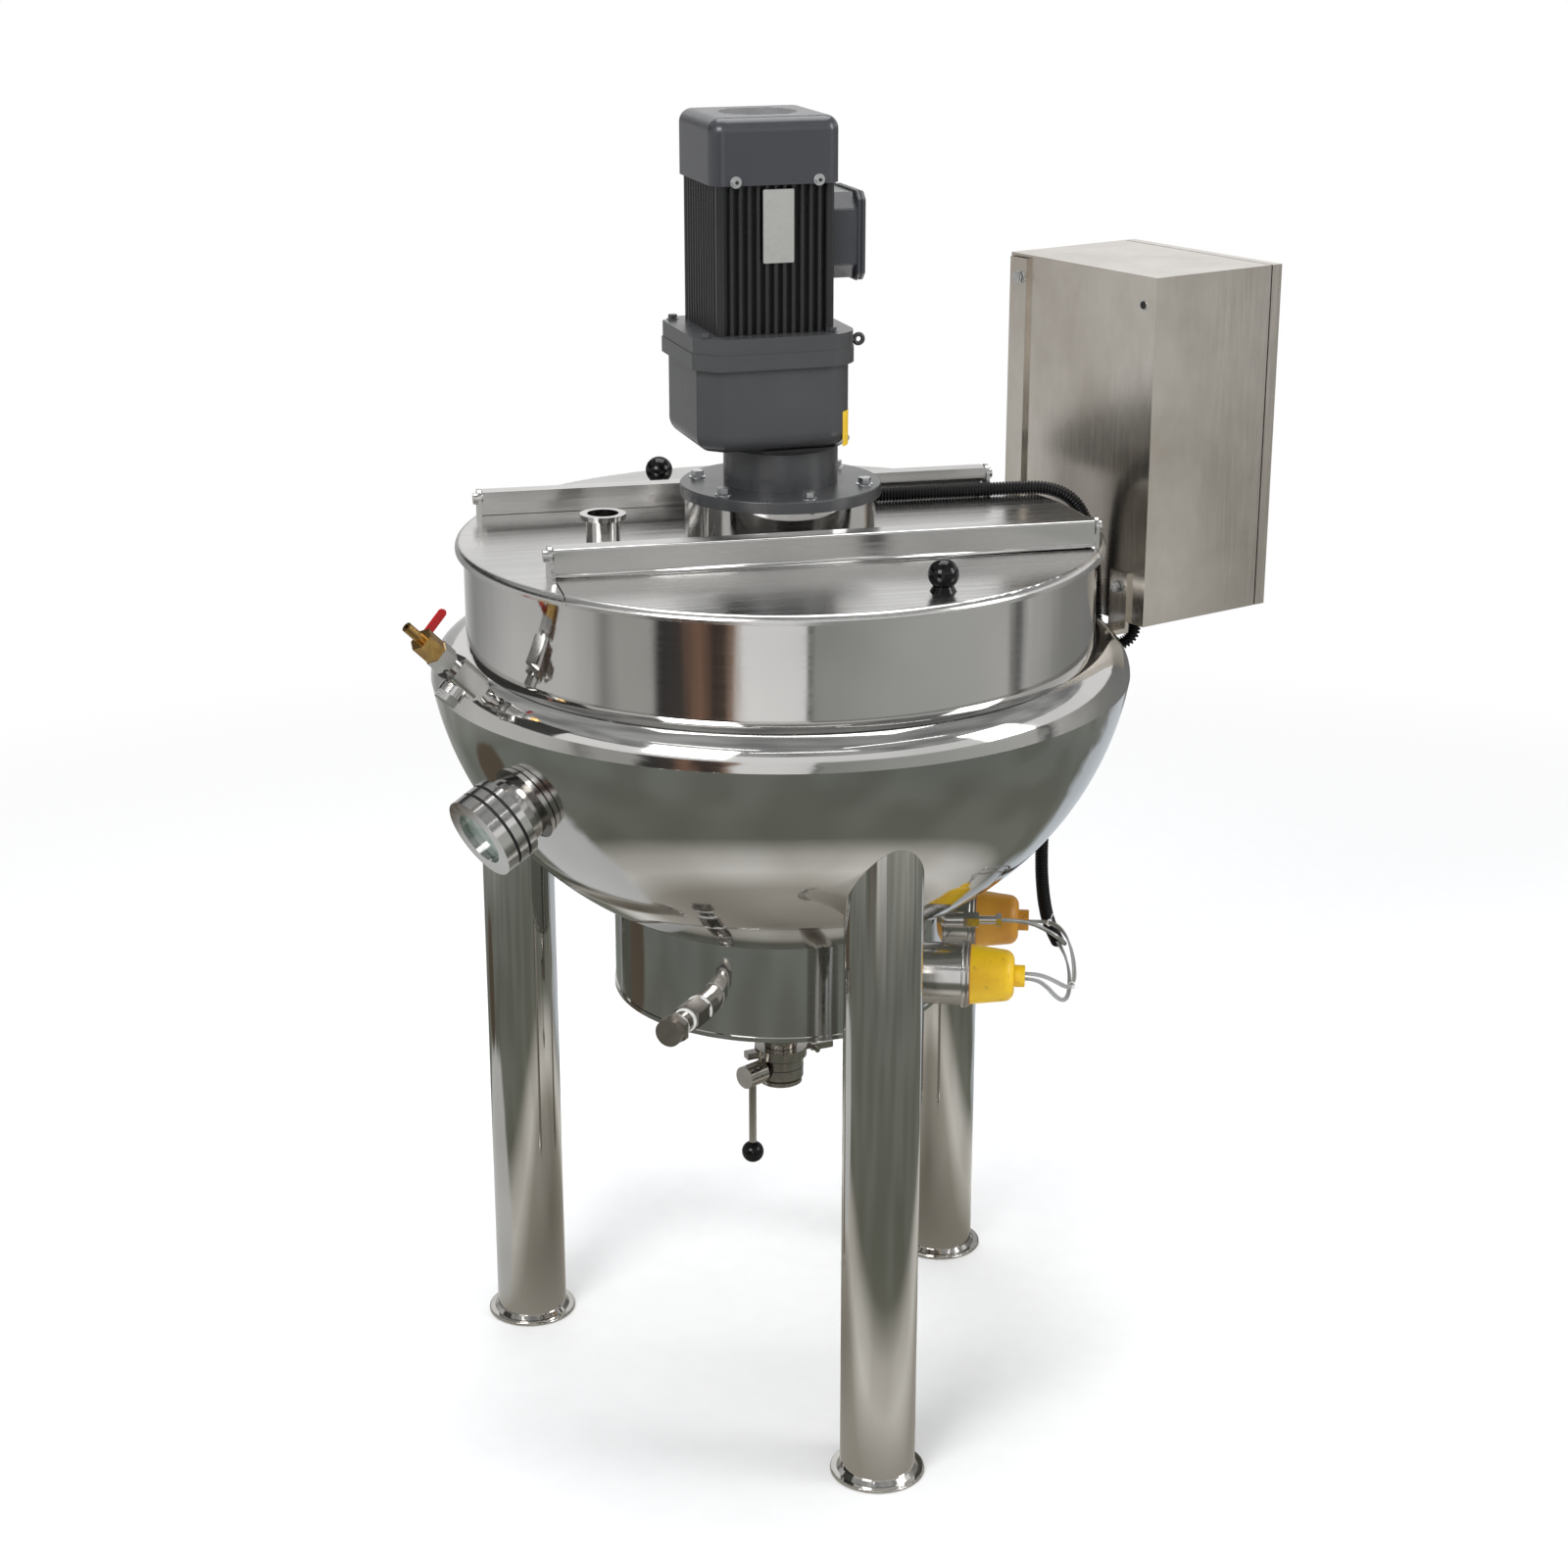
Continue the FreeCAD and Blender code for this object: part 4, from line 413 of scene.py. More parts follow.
@dataclass(frozen=True)
class Paint:
    """Sprayed enamel over a casting, with dust in the low places.

    Args:
        name: Name of the material.
        colour: Colour of the enamel.
        dust: Colour where dust lies.
        smooth: Lowest and highest roughness.
        peel: Height of the surface's unevenness, in metres.
    """

    name: str
    colour: Colour
    dust: Colour
    smooth: Span
    peel: float

    def build(self) -> bpy.types.Material:
        """Makes the material.

        Returns:
            The material.
        """
        shader = Shader(self.name)
        cloud = shader.noise((7.0, 7.0, 5.0))
        peel = shader.noise((300.0, 300.0, 300.0), 2.0)
        dusty = shader.span(cloud, start=0.3, end=0.8)
        return shader.surface(Metallic=0.0, Roughness=shader.span(cloud, *self.smooth),
                              Base_Color=shader.mix(dusty, self.colour, self.dust),
                              Normal=shader.bump(peel, self.peel, 0.35))


@dataclass(frozen=True)
class Plastic:
    """Moulded plastic or rubber, with slight smudges and a fine skin.

    Args:
        name: Name of the material.
        colour: Main colour.
        stain: Colour of the smudges.
        smooth: Lowest and highest roughness.
        stained: Share of the surface that is stained, from 0 to 1.
        skin: Height of the skin's texture, in metres.
        shine: Strength of its highlights, 0.5 for ordinary plastic.
        edge: Width of a smudge's soft edge, as a step of the noise.
        clean: Value of the noise where smudges start on a clean surface, and how far it
            falls on a stained one.
    """

    name: str
    colour: Colour
    stain: Colour
    smooth: Span
    stained: float = 0.3
    skin: float = 0.0001
    shine: float = 0.5
    edge: float = 0.14
    clean: Span = (0.78, 0.4)

    def build(self) -> bpy.types.Material:
        """Makes the material.

        Returns:
            The material.
        """
        shader = Shader(self.name)
        smudge = shader.noise((45.0, 45.0, 45.0), 5.0, 0.7)
        fine = shader.noise((700.0, 700.0, 700.0), 2.0)
        start = self.clean[0] - self.clean[1] * self.stained
        stained = shader.span(smudge, start=start, end=start + self.edge)
        return shader.surface(Metallic=0.0, Roughness=shader.span(smudge, *self.smooth),
                              Specular_IOR_Level=self.shine,
                              Base_Color=shader.mix(stained, self.colour, self.stain),
                              Normal=shader.bump(fine, self.skin, 0.3))


@dataclass(frozen=True)
class Metal:
    """Plain machined or cast metal, such as brass or zinc.

    Args:
        name: Name of the material.
        colour: Main colour.
        tarnish: Colour where it has dulled.
        smooth: Lowest and highest roughness.
        turned: Depth of the marks of the lathe, in metres.
    """

    name: str
    colour: Colour
    tarnish: Colour
    smooth: Span = (0.18, 0.36)
    turned: float = 0.00003

    def build(self) -> bpy.types.Material:
        """Makes the material.

        Returns:
            The material.
        """
        shader = Shader(self.name)
        cloud = shader.noise((60.0, 60.0, 60.0), 4.0, 0.6)
        lathe = shader.noise((120.0, 120.0, 900.0), 2.0)
        return shader.surface(Metallic=1.0, Roughness=shader.span(cloud, *self.smooth),
                              Base_Color=shader.mix(shader.span(cloud), self.colour,
                                                    self.tarnish),
                              Normal=shader.bump(lathe, self.turned, 0.3))


@dataclass(frozen=True)
class CapPlastic:
    """Yellow moulded caps: the front one bright and scuffed, the back one darker and more
    orange.

    Args:
        name: Name of the material.
        front_yellow: Colour of the front cap.
        back_yellow: Colour of the back cap.
        dirt: Colour of the scuffs and finger marks.
        shade: Tint of the darker clouds.
        smooth: Lowest and highest roughness.
        split: Place along Y between the two caps, in metres.
        fade: Half the width of the change between them, in metres.
    """

    name: str = "cap_yellow"
    front_yellow: Colour = (0.84, 0.56, 0.004)
    back_yellow: Colour = (0.56, 0.27, 0.015)
    dirt: Colour = (0.20, 0.11, 0.02)
    shade: Colour = (0.80, 0.68, 0.45)
    smooth: Span = (0.30, 0.48)
    split: float = -0.08
    fade: float = 0.01

    def build(self) -> bpy.types.Material:
        """Makes the material.

        Returns:
            The material.
        """
        shader = Shader(self.name)
        apart = shader.node("ShaderNodeSeparateXYZ", Vector=shader.own)
        side = shader.span(apart.outputs["Y"], start=self.split - self.fade,
                           end=self.split + self.fade)
        cloud = shader.span(shader.noise((22.0, 22.0, 22.0)))
        scuff = shader.noise((90.0, 90.0, 60.0), 6.0, 0.75)
        shaded = shader.mix(1.0, shader.mix(side, self.front_yellow, self.back_yellow),
                            shader.mix(cloud, WHITE, self.shade), "MULTIPLY")
        marks = shader.mix(shader.span(scuff, 0.0, 0.75, 0.60, 0.68), shaded, self.dirt)
        return shader.surface(Metallic=0.0, Roughness=shader.span(scuff, *self.smooth),
                              Base_Color=marks, Normal=shader.bump(scuff, 0.0002, 0.3))


@dataclass(frozen=True)
class SightPane:
    """Thick, slightly green glass with oil behind it.

    Args:
        name: Name of the material.
        deep: Colour where the oil is clean.
        film: Colour of the film on the glass.
        smooth: Lowest and highest roughness.
        bend: The glass's refractive index.
    """

    name: str = "sight_pane"
    deep: Colour = (0.10, 0.14, 0.12)
    film: Colour = (0.24, 0.28, 0.25)
    smooth: Span = (0.03, 0.10)
    bend: float = 1.5

    def build(self) -> bpy.types.Material:
        """Makes the material.

        Returns:
            The material.
        """
        shader = Shader(self.name)
        film = shader.noise((70.0, 70.0, 70.0))
        return shader.surface(Metallic=0.0, IOR=self.bend,
                              Roughness=shader.span(film, *self.smooth),
                              Base_Color=shader.mix(shader.span(film), self.deep,
                                                    self.film))


class Finishes:
    """Every finish of the kettle, made once."""

    def __init__(self) -> None:
        """Makes the materials."""
        self.vessel = PolishedSteel("polished_vessel").build()
        self.lid = PolishedSteel("polished_lid", smooth=(0.14, 0.28), grain=Grain.ALONG_X,
                                 wave=0.0008).build()
        self.tube = PolishedSteel("bright_tube", (0.60, 0.585, 0.56), (0.47, 0.455, 0.43),
                                  (0.04, 0.12), 0.0006, Grain.UPRIGHT).build()
        self.fitting = PolishedSteel("bright_fitting", (0.62, 0.61, 0.595),
                                     (0.46, 0.45, 0.44), (0.08, 0.2), 0.0,
                                     Grain.EVEN).build()
        self.worn = PolishedSteel("worn_fitting", (0.47, 0.445, 0.415),
                                  (0.31, 0.285, 0.255), (0.10, 0.24), 0.0,
                                  Grain.EVEN).build()
        self.cabinet = BrushedSteel("brushed_cabinet").build()
        self.stator = Paint("stator_enamel", (0.006, 0.0065, 0.007), (0.014, 0.014, 0.015),
                            (0.22, 0.34), 0.0001).build()
        self.gear = Paint("gear_enamel", (0.030, 0.031, 0.033), (0.052, 0.053, 0.055),
                          (0.20, 0.34), 0.00025).build()
        self.cover = Paint("cover_enamel", (0.030, 0.031, 0.036), (0.040, 0.041, 0.046),
                           (0.20, 0.30), 0.0001).build()
        self.knob = Plastic("black_knob", (0.003, 0.003, 0.0035), (0.008, 0.008, 0.008),
                            (0.05, 0.09), 0.05, 0.00002, 0.28).build()
        self.hose = Plastic("black_hose", (0.0025, 0.0025, 0.003), (0.010, 0.010, 0.010),
                            (0.34, 0.5), shine=0.22).build()
        self.gasket = Plastic("gasket_rubber", (0.012, 0.012, 0.012),
                              (0.04, 0.04, 0.04), (0.55, 0.75)).build()
        self.pane = SightPane().build()
        self.brass = Metal("valve_brass", (0.62, 0.40, 0.14), (0.34, 0.20, 0.07)).build()
        self.zinc = Metal("screw_zinc", (0.66, 0.67, 0.68), (0.45, 0.46, 0.47)).build()
        self.red = Plastic("lever_vinyl", (0.34, 0.006, 0.008), (0.17, 0.008, 0.008),
                           (0.2, 0.3)).build()
        self.yellow = CapPlastic().build()
        self.cast = PolishedSteel("dull_casting", (0.40, 0.37, 0.34), (0.26, 0.235, 0.21),
                                  (0.26, 0.42), 0.0, Grain.EVEN).build()
        self.lead = Plastic("lead_sleeve", (0.34, 0.34, 0.335), (0.15, 0.15, 0.145),
                            (0.4, 0.55)).build()
        self.braid = Metal("lead_braid", (0.55, 0.55, 0.54), (0.22, 0.22, 0.22),
                           (0.3, 0.5)).build()
        self.plate = Metal("rating_plate", (0.62, 0.62, 0.60), (0.50, 0.50, 0.49),
                           (0.35, 0.5)).build()
        self.label = Plastic("bare_label", (0.80, 0.52, 0.02), (0.42, 0.27, 0.05),
                             (0.35, 0.5), 0.25).build()
        self.tape = Plastic("thread_tape", (0.78, 0.78, 0.76), (0.52, 0.52, 0.50),
                            (0.5, 0.7), 0.5).build()
        self.tie = Plastic("tie_nylon", (0.80, 0.80, 0.77), (0.55, 0.55, 0.52),
                           (0.3, 0.45)).build()
        self.seal = Plastic("cap_seal", (0.30, 0.13, 0.03), (0.10, 0.05, 0.02),
                            (0.45, 0.6), 0.4).build()
        # Near-black discs for the inside of holes, screw sockets and spout mouths: painted
        # shade.
        self.recess_shade = Plastic("painted_recess_shade", (0.010, 0.009, 0.008), (0.03, 0.025, 0.02),
                             (0.6, 0.8)).build()


def dress(material: bpy.types.Material, *nodes: str) -> None:
    """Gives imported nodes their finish.

    Args:
        material: The finish.
        nodes: Names of the nodes.
    """
    for node in nodes:
        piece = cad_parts[node]
        if piece.material_slots:
            for slot in piece.material_slots:
                slot.material = material
        else:
            piece.data.materials.append(material)
        LOG.info("dressed %s with %s", node, material.name)


def keep_piece(piece: bpy.types.Object, body: Body, slot: Slot,
               *stands_for: str) -> bpy.types.Object:
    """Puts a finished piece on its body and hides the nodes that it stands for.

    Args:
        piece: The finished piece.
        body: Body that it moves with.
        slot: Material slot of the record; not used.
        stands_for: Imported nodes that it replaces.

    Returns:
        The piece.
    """
    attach(piece, body.value)
    if stands_for:
        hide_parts(*stands_for)
    LOG.info("made %s, %d faces", piece.name, len(piece.data.polygons))
    return piece


def mesh_object(name: str, mesh: bpy.types.Mesh,
                material: bpy.types.Material | None = None) -> bpy.types.Object:
    """Puts a mesh into the scene.

    Args:
        name: Name of the piece.
        mesh: Its mesh.
        material: Its finish, unless the mesh has one.

    Returns:
        The new object.
    """
    mesh.name = name
    piece = bpy.data.objects.new(name, mesh)
    bpy.context.scene.collection.objects.link(piece)
    if material is not None:
        mesh.materials.clear()
        mesh.materials.append(material)
    return piece


def shape_mesh(name: str, shape: bmesh.types.BMesh) -> bpy.types.Mesh:
    """Turns a shape into a mesh and frees the shape.

    Args:
        name: Name of the mesh.
        shape: The shape.

    Returns:
        The mesh.
    """
    mesh = bpy.data.meshes.new(name)
    shape.to_mesh(mesh)
    shape.free()
    return mesh


def shape_piece(name: str, shape: bmesh.types.BMesh, material: bpy.types.Material,
                body: Body, slot: Slot, *stands_for: str) -> bpy.types.Object:
    """Turns a closed shape into a finished piece with its faces outwards.

    Args:
        name: Name of the piece.
        shape: The shape.
        material: Its finish.
        body: Body that it moves with.
        slot: Material slot of the record.
        stands_for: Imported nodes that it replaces.

    Returns:
        The piece.
    """
    bmesh.ops.recalc_face_normals(shape, faces=shape.faces)
    piece = mesh_object(name, shape_mesh(name, shape), material)
    return keep_piece(piece, body, slot, *stands_for)


def corners(shape: bmesh.types.BMesh, spots: list[Vector]) -> list[bmesh.types.BMVert]:
    """Adds a row of points to a shape."""
    return [shape.verts.new(spot) for spot in spots]


def wall(shape: bmesh.types.BMesh, first: list[bmesh.types.BMVert],
         second: list[bmesh.types.BMVert]) -> list[bmesh.types.BMFace]:
    """Joins two closed loops of as many points by faces.

    Args:
        shape: Shape that they are in.
        first: First loop.
        second: Second loop.

    Returns:
        The faces.
    """
    following = [*range(1, len(first)), 0]
    return [shape.faces.new((first[index], first[after], second[after], second[index]))
            for index, after in enumerate(following)]


def prism(shape: bmesh.types.BMesh, low: list[bmesh.types.BMVert],
          high: list[bmesh.types.BMVert]) -> list[bmesh.types.BMFace]:
    """Joins two closed loops by faces and closes both ends.

    Args:
        shape: Shape that they are in.
        low: Loop of one end.
        high: Loop of the other end.

    Returns:
        The faces.
    """
    return [*wall(shape, low, high), shape.faces.new(high),
            shape.faces.new(list(reversed(low)))]


class GeometryTree(NodeTree):
    """A geometry node tree with named inputs."""

    def __init__(self, name: str, **sizes: float) -> None:
        """Starts a tree that takes and gives geometry.

        Args:
            name: Name of the tree.
            sizes: Its named inputs and their values, with underscores for spaces.
        """
        super().__init__(bpy.data.node_groups.new(name, "GeometryNodeTree"))
        sockets = self.tree.interface
        for way in ("INPUT", "OUTPUT"):
            sockets.new_socket("Geometry", in_out=way, socket_type="NodeSocketGeometry")
        self.sizes: dict[str, float] = {}
        for key, value in sizes.items():
            socket = sockets.new_socket(key.replace("_", " "), in_out="INPUT",
                                        socket_type="NodeSocketFloat")
            socket.default_value = value
            self.sizes[socket.identifier] = value
        self.entry = self.node("NodeGroupInput").outputs
        self.exit = self.node("NodeGroupOutput").inputs[0]

    def instances(self, shape: Socket, **turn: str) -> Socket:
        """Stands a shape on each point, turned to the point's facing.

        Args:
            shape: What stands on the points.
            turn: Settings of the turn.

        Returns:
            The instances.
        """
        facing = self.node("GeometryNodeInputNamedAttribute", data_type="FLOAT_VECTOR",
                           Name="facing")
        align = self.node("FunctionNodeAlignRotationToVector",
                          Vector=facing.outputs["Attribute"], **turn)
        return self.node("GeometryNodeInstanceOnPoints", Points=self.entry["Geometry"],
                         Instance=shape, Rotation=align.outputs[0]).outputs[0]

    def joined(self, *parts: Socket) -> Socket:
        """Joins several geometries into one.

        Args:
            parts: The geometries.

        Returns:
            The joined geometry.
        """
        join = self.node("GeometryNodeJoinGeometry")
        for part in parts:
            self.feed(join.inputs[0], part)
        return join.outputs[0]

    def sweep(self, curve: Socket, profile: Socket, **more: Socket) -> Socket:
        """Draws a profile along a curve and closes its ends.

        Args:
            curve: The curve.
            profile: The profile.
            more: Further inputs by name.

        Returns:
            The swept geometry.
        """
        return self.node("GeometryNodeCurveToMesh", Curve=curve, Profile_Curve=profile,
                         Fill_Caps=True, **more).outputs[0]

    def moved(self, geometry: Socket, **along: Socket) -> Socket:
        """Moves a geometry.

        Args:
            geometry: What is moved.
            along: The way along X, Y or Z.

        Returns:
            The moved geometry.
        """
        way = self.node("ShaderNodeCombineXYZ", **along)
        return self.node("GeometryNodeTransform", Geometry=geometry,
                         Translation=way.outputs[0]).outputs[0]

    def finish(self, geometry: Socket, material: bpy.types.Material) -> None:
        """Ends the tree in real, dressed geometry.

        Args:
            geometry: What the tree made.
            material: Its finish.
        """
        real = self.node("GeometryNodeRealizeInstances", Geometry=geometry)
        coat = self.node("GeometryNodeSetMaterial", Geometry=real.outputs[0],
                         Material=material)
        self.feed(self.exit, coat.outputs[0])

    def apply(self, name: str, base: bpy.types.Object) -> bpy.types.Object:
        """Runs the tree on an object and keeps the result as a plain mesh.

        Args:
            name: Name of the finished piece.
            base: Object that the tree starts from, which is removed.

        Returns:
            The finished piece.
        """
        modifier = base.modifiers.new("made", "NODES")
        modifier.node_group = self.tree
        for identifier, value in self.sizes.items():
            modifier[identifier] = value
        graph = bpy.context.evaluated_depsgraph_get()
        graph.update()
        mesh = bpy.data.meshes.new_from_object(base.evaluated_get(graph))
        base.modifiers.remove(modifier)
        bpy.data.objects.remove(base)
        return mesh_object(name, mesh)


def facing_points(name: str, spots: list[Vector], ways: list[Vector]) -> bpy.types.Object:
    """Points that each carry the way that their instance faces.

    Args:
        name: Name of the object.
        spots: The points, in the frame, in metres.
        ways: The way that each faces.

    Returns:
        The object.
    """
    mesh = bpy.data.meshes.new(name)
    mesh.from_pydata([tuple(spot) for spot in spots], [], [])
    facing = mesh.attributes.new("facing", "FLOAT_VECTOR", "POINT")
    for item, way in zip(facing.data, ways):
        item.vector = way
    return mesh_object(name, mesh)


@dataclass
class Screws:
    """Like screws at given places, each a hexagon head on a washer.

    Args:
        name: Name of the finished piece.
        places: Where each screw sits, in the frame, in metres.
        facing: Way each screw's head points.
        across: Half the head's width over its corners, in millimetres.
        height: Height of the head, in millimetres.
        washer: Radius of the washer, in millimetres.
        sides: Number of the head's sides.
        washer_height: Height of the washer, in millimetres.
        washer_sides: Number of the washer's sides.
    """

    name: str
    places: list[Vector]
    facing: list[Vector]
    across: float = 6.5
    height: float = 5.0
    washer: float = 8.0
    sides: int = 6
    washer_height: float = 1.4
    washer_sides: int = 24

    def tree(self, material: bpy.types.Material) -> GeometryTree:
        """Builds the tree that sets a screw on each point.

        Args:
            material: Finish of the screws.

        Returns:
            The tree.
        """
        tree = GeometryTree(self.name + "_tree", Head_Radius=self.across * MM,
                            Head_Height=self.height * MM, Washer_Radius=self.washer * MM,
                            Washer_Height=self.washer_height * MM)
        head_height, washer_height = tree.entry["Head Height"], tree.entry["Washer Height"]
        head = tree.node("GeometryNodeMeshCylinder", Vertices=self.sides,
                         Radius=tree.entry["Head Radius"], Depth=head_height)
        washer = tree.node("GeometryNodeMeshCylinder", Vertices=self.washer_sides,
                           Radius=tree.entry["Washer Radius"], Depth=washer_height)
        rise = tree.math("ADD", tree.math("MULTIPLY", head_height, 0.5), washer_height)
        screw = tree.joined(tree.moved(head.outputs["Mesh"], Z=rise),
                            washer.outputs["Mesh"])
        tree.finish(tree.instances(screw, axis="Z"), material)
        return tree

    def build(self, material: bpy.types.Material, slot: Slot,
              body: Body = Body.FRAME) -> bpy.types.Object:
        """Makes the screws as one piece.

        Args:
            material: Their finish.
            slot: Material slot of the record.
            body: Body that they move with.

        Returns:
            The piece.
        """
        points = facing_points(self.name, self.places, self.facing)
        return keep_piece(self.tree(material).apply(self.name, points), body, slot)


@dataclass
class PlateForm:
    """A thin plate with rounded corners, laid on a flat face.

    Args:
        name: Name of the finished piece.
        centre: Middle of its back, in the frame, in metres.
        along: Direction of its width.
        upward: Direction of its height.
        width: Width in millimetres.
        height: Height in millimetres.
        thick: Thickness in millimetres.
        corner: Radius of its corners, in millimetres.
        steps: Facets round each corner.
        softness: Share of the thickness that its front edge is rounded by.
    """

    name: str
    centre: Vector
    along: Vector
    upward: Vector
    width: float
    height: float
    thick: float
    corner: float
    steps: int = 5
    softness: float = 0.4

    def outline(self) -> list[Vector]:
        """Goes round the plate, anticlockwise.

        Returns:
            The points, in the frame, in metres.
        """
        spots = []
        for quarter, (sx, sz) in enumerate(((1, 1), (-1, 1), (-1, -1), (1, -1))):
            for step in range(self.steps + 1):
                angle = math.radians(90 * (quarter + step / self.steps))
                x = sx * (self.width / 2 - self.corner) + self.corner * math.cos(angle)
                z = sz * (self.height / 2 - self.corner) + self.corner * math.sin(angle)
                spots.append(self.centre + (self.along * x + self.upward * z) * MM)
        return spots

    def build(self, material: bpy.types.Material, slot: Slot) -> bpy.types.Object:
        """Makes the plate.

        Args:
            material: Its finish.
            slot: Material slot of the record.

        Returns:
            The piece.
        """
        out = self.along.cross(self.upward).normalized() * self.thick * MM
        back = self.outline()
        shape = bmesh.new()
        low = corners(shape, back)
        high = corners(shape, [spot + out for spot in back])
        prism(shape, low, high)
        bmesh.ops.recalc_face_normals(shape, faces=shape.faces)
        edges = [edge for edge in shape.edges if all(v in high for v in edge.verts)]
        bmesh.ops.bevel(shape, geom=edges, offset=self.thick * MM * self.softness,
                        segments=2, affect="EDGES")
        return shape_piece(self.name, shape, material, Body.FRAME, slot)


@dataclass
class RingForm:
    """A round band about an axis, such as tape, a seal or a tie.

    Args:
        name: Name of the finished piece.
        spots: Middle of each band, in the frame, in metres.
        axes: Direction of each band's axis.
        radius: Radius to the middle of the band, in millimetres.
        thick: Radius of its section across, in millimetres.
        wide: Half its width along the axis, in millimetres.
        steps: Facets round the band.
        parts: Facets round its section.
    """

    name: str
    spots: list[Vector]
    axes: list[Vector]
    radius: float
    thick: float
    wide: float
    steps: int = 32
    parts: int = 8

    def section(self, spot: Vector, turn: Matrix, angle: float) -> list[Vector]:
        """Points round the band's section.

        Args:
            spot: Middle of the band.
            turn: Turn of its axis from upright.
            angle: Place round the band, in radians.

        Returns:
            The points, in the frame, in metres.
        """
        points = []
        for part in range(self.parts):
            side = math.tau * part / self.parts
            reach = self.radius + self.thick * math.cos(side)
            local = Vector((reach * math.cos(angle), reach * math.sin(angle),
                            self.wide * math.sin(side)))
            points.append(spot + turn @ local * MM)
        return points

    def build(self, material: bpy.types.Material, slot: Slot) -> bpy.types.Object:
        """Makes the bands as one piece.

        Args:
            material: Their finish.
            slot: Material slot of the record.

        Returns:
            The piece.
        """
        shape = bmesh.new()
        for spot, axis in zip(self.spots, self.axes):
            turn = axis.to_track_quat("Z", "Y").to_matrix()
            rows = [corners(shape, self.section(spot, turn, math.tau * step / self.steps))
                    for step in range(self.steps)]
            for first, second in zip(rows, [*rows[1:], rows[0]]):
                for face in wall(shape, first, second):
                    face.smooth = True
        return shape_piece(self.name, shape, material, Body.FRAME, slot)


@dataclass
class CordRun:
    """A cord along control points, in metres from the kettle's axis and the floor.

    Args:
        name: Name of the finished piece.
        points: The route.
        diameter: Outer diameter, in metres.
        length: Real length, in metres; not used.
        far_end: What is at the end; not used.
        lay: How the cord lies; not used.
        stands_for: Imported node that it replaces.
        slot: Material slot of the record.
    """

    name: str
    points: list[tuple[float, float, float]]
    diameter: float
    length: float
    far_end: str
    lay: str
    stands_for: str
    slot: Slot

    def spline(self) -> bpy.types.Object:
        """Draws the route as a smooth, bare curve.

        Returns:
            The curve object.
        """
        curve = bpy.data.curves.new(self.name, "CURVE")
        curve.dimensions = "3D"
        spline = curve.splines.new("NURBS")
        spline.points.add(len(self.points) - 1)
        for control, spot in zip(spline.points, self.points):
            control.co = (*(AXIS + Vector(spot)), 1.0)
        spline.order_u = 3
        spline.use_endpoint_u = True
        made = bpy.data.objects.new(self.name, curve)
        bpy.context.scene.collection.objects.link(made)
        return made

    def path(self) -> list[Vector]:
        """Reads the smooth route.

        Returns:
            Points along it, in the frame, in metres.
        """
        line = self.spline()
        graph = bpy.context.evaluated_depsgraph_get()
        mesh = bpy.data.meshes.new_from_object(line.evaluated_get(graph))
        spots = [vertex.co.copy() for vertex in mesh.vertices]
        bpy.data.objects.remove(line)
        return spots

    def stepped(self, tree: GeometryTree) -> tuple[Socket, Socket]:
        """Cuts the route into even steps.

        Args:
            tree: Tree with an input called Step.

        Returns:
            The cut route and the number of each step.
        """
        line = tree.node("GeometryNodeResampleCurve", mode="LENGTH",
                         Curve=tree.entry["Geometry"], Length=tree.entry["Step"])
        return line.outputs[0], tree.node("GeometryNodeInputIndex").outputs[0]

    def declare(self, tree: GeometryTree) -> bpy.types.Object:
        """Runs the finished tree on the route and puts the piece on its body.

        Args:
            tree: The tree.

        Returns:
            The piece.
        """
        path = self.path()
        piece = tree.apply(self.name, self.spline())
        keep_piece(piece, Body.FRAME, self.slot, self.stands_for)
        return piece

    def pair(self, material: bpy.types.Material, twist: float, pitch: float = 0.002,
             sides: int = 10) -> bpy.types.Object:
        """Makes two thin leads that twist slowly round each other.

        Args:
            material: Their finish.
            twist: Turn from one section to the next, in radians.
            pitch: Distance from one section to the next, in metres.
            sides: Facets round each lead.

        Returns:
            The piece.
        """
        tree = GeometryTree(self.name + "_tree", Strand_Radius=self.diameter / 4,
                            Step=pitch, Twist=twist)
        line, index = self.stepped(tree)
        tilt = tree.node("GeometryNodeSetCurveTilt", Curve=line,
                         Tilt=tree.math("MULTIPLY", index, tree.entry["Twist"]))
        radius = tree.entry["Strand Radius"]
        circle = tree.node("GeometryNodeCurvePrimitiveCircle", Resolution=sides,
                           Radius=radius).outputs[0]
        strands = [tree.moved(circle, X=tree.math("MULTIPLY", radius, way))
                   for way in (1.0, -1.0)]
        tree.finish(tree.sweep(tilt.outputs[0], tree.joined(*strands)), material)
        return self.declare(tree)

    def corrugated(self, material: bpy.types.Material, pitch: float = 0.0038,
                   depth: float = 0.0026, sides: int = 20) -> bpy.types.Object:
        """Makes a ribbed conduit, with four sections to each rib.

        Args:
            material: Its finish.
            pitch: Distance from rib to rib, in metres.
            depth: Depth of the grooves, in metres.
            sides: Facets round the conduit.

        Returns:
            The piece.
        """
        sections = 4
        tree = GeometryTree(self.name + "_tree", Radius=self.diameter / 2,
                            Step=pitch / sections, Depth=depth)
        line, index = self.stepped(tree)
        phase = tree.math("MODULO", index, float(sections))
        groove = tree.math("GREATER_THAN", phase, sections / 2 - 0.5)
        cut = tree.math("MULTIPLY", groove, tree.entry["Depth"])
        circle = tree.node("GeometryNodeCurvePrimitiveCircle", Radius=1.0, Resolution=sides)
        tree.finish(tree.sweep(line, circle.outputs[0],
                               Scale=tree.math("SUBTRACT", tree.entry["Radius"], cut)),
                    material)
        return self.declare(tree)


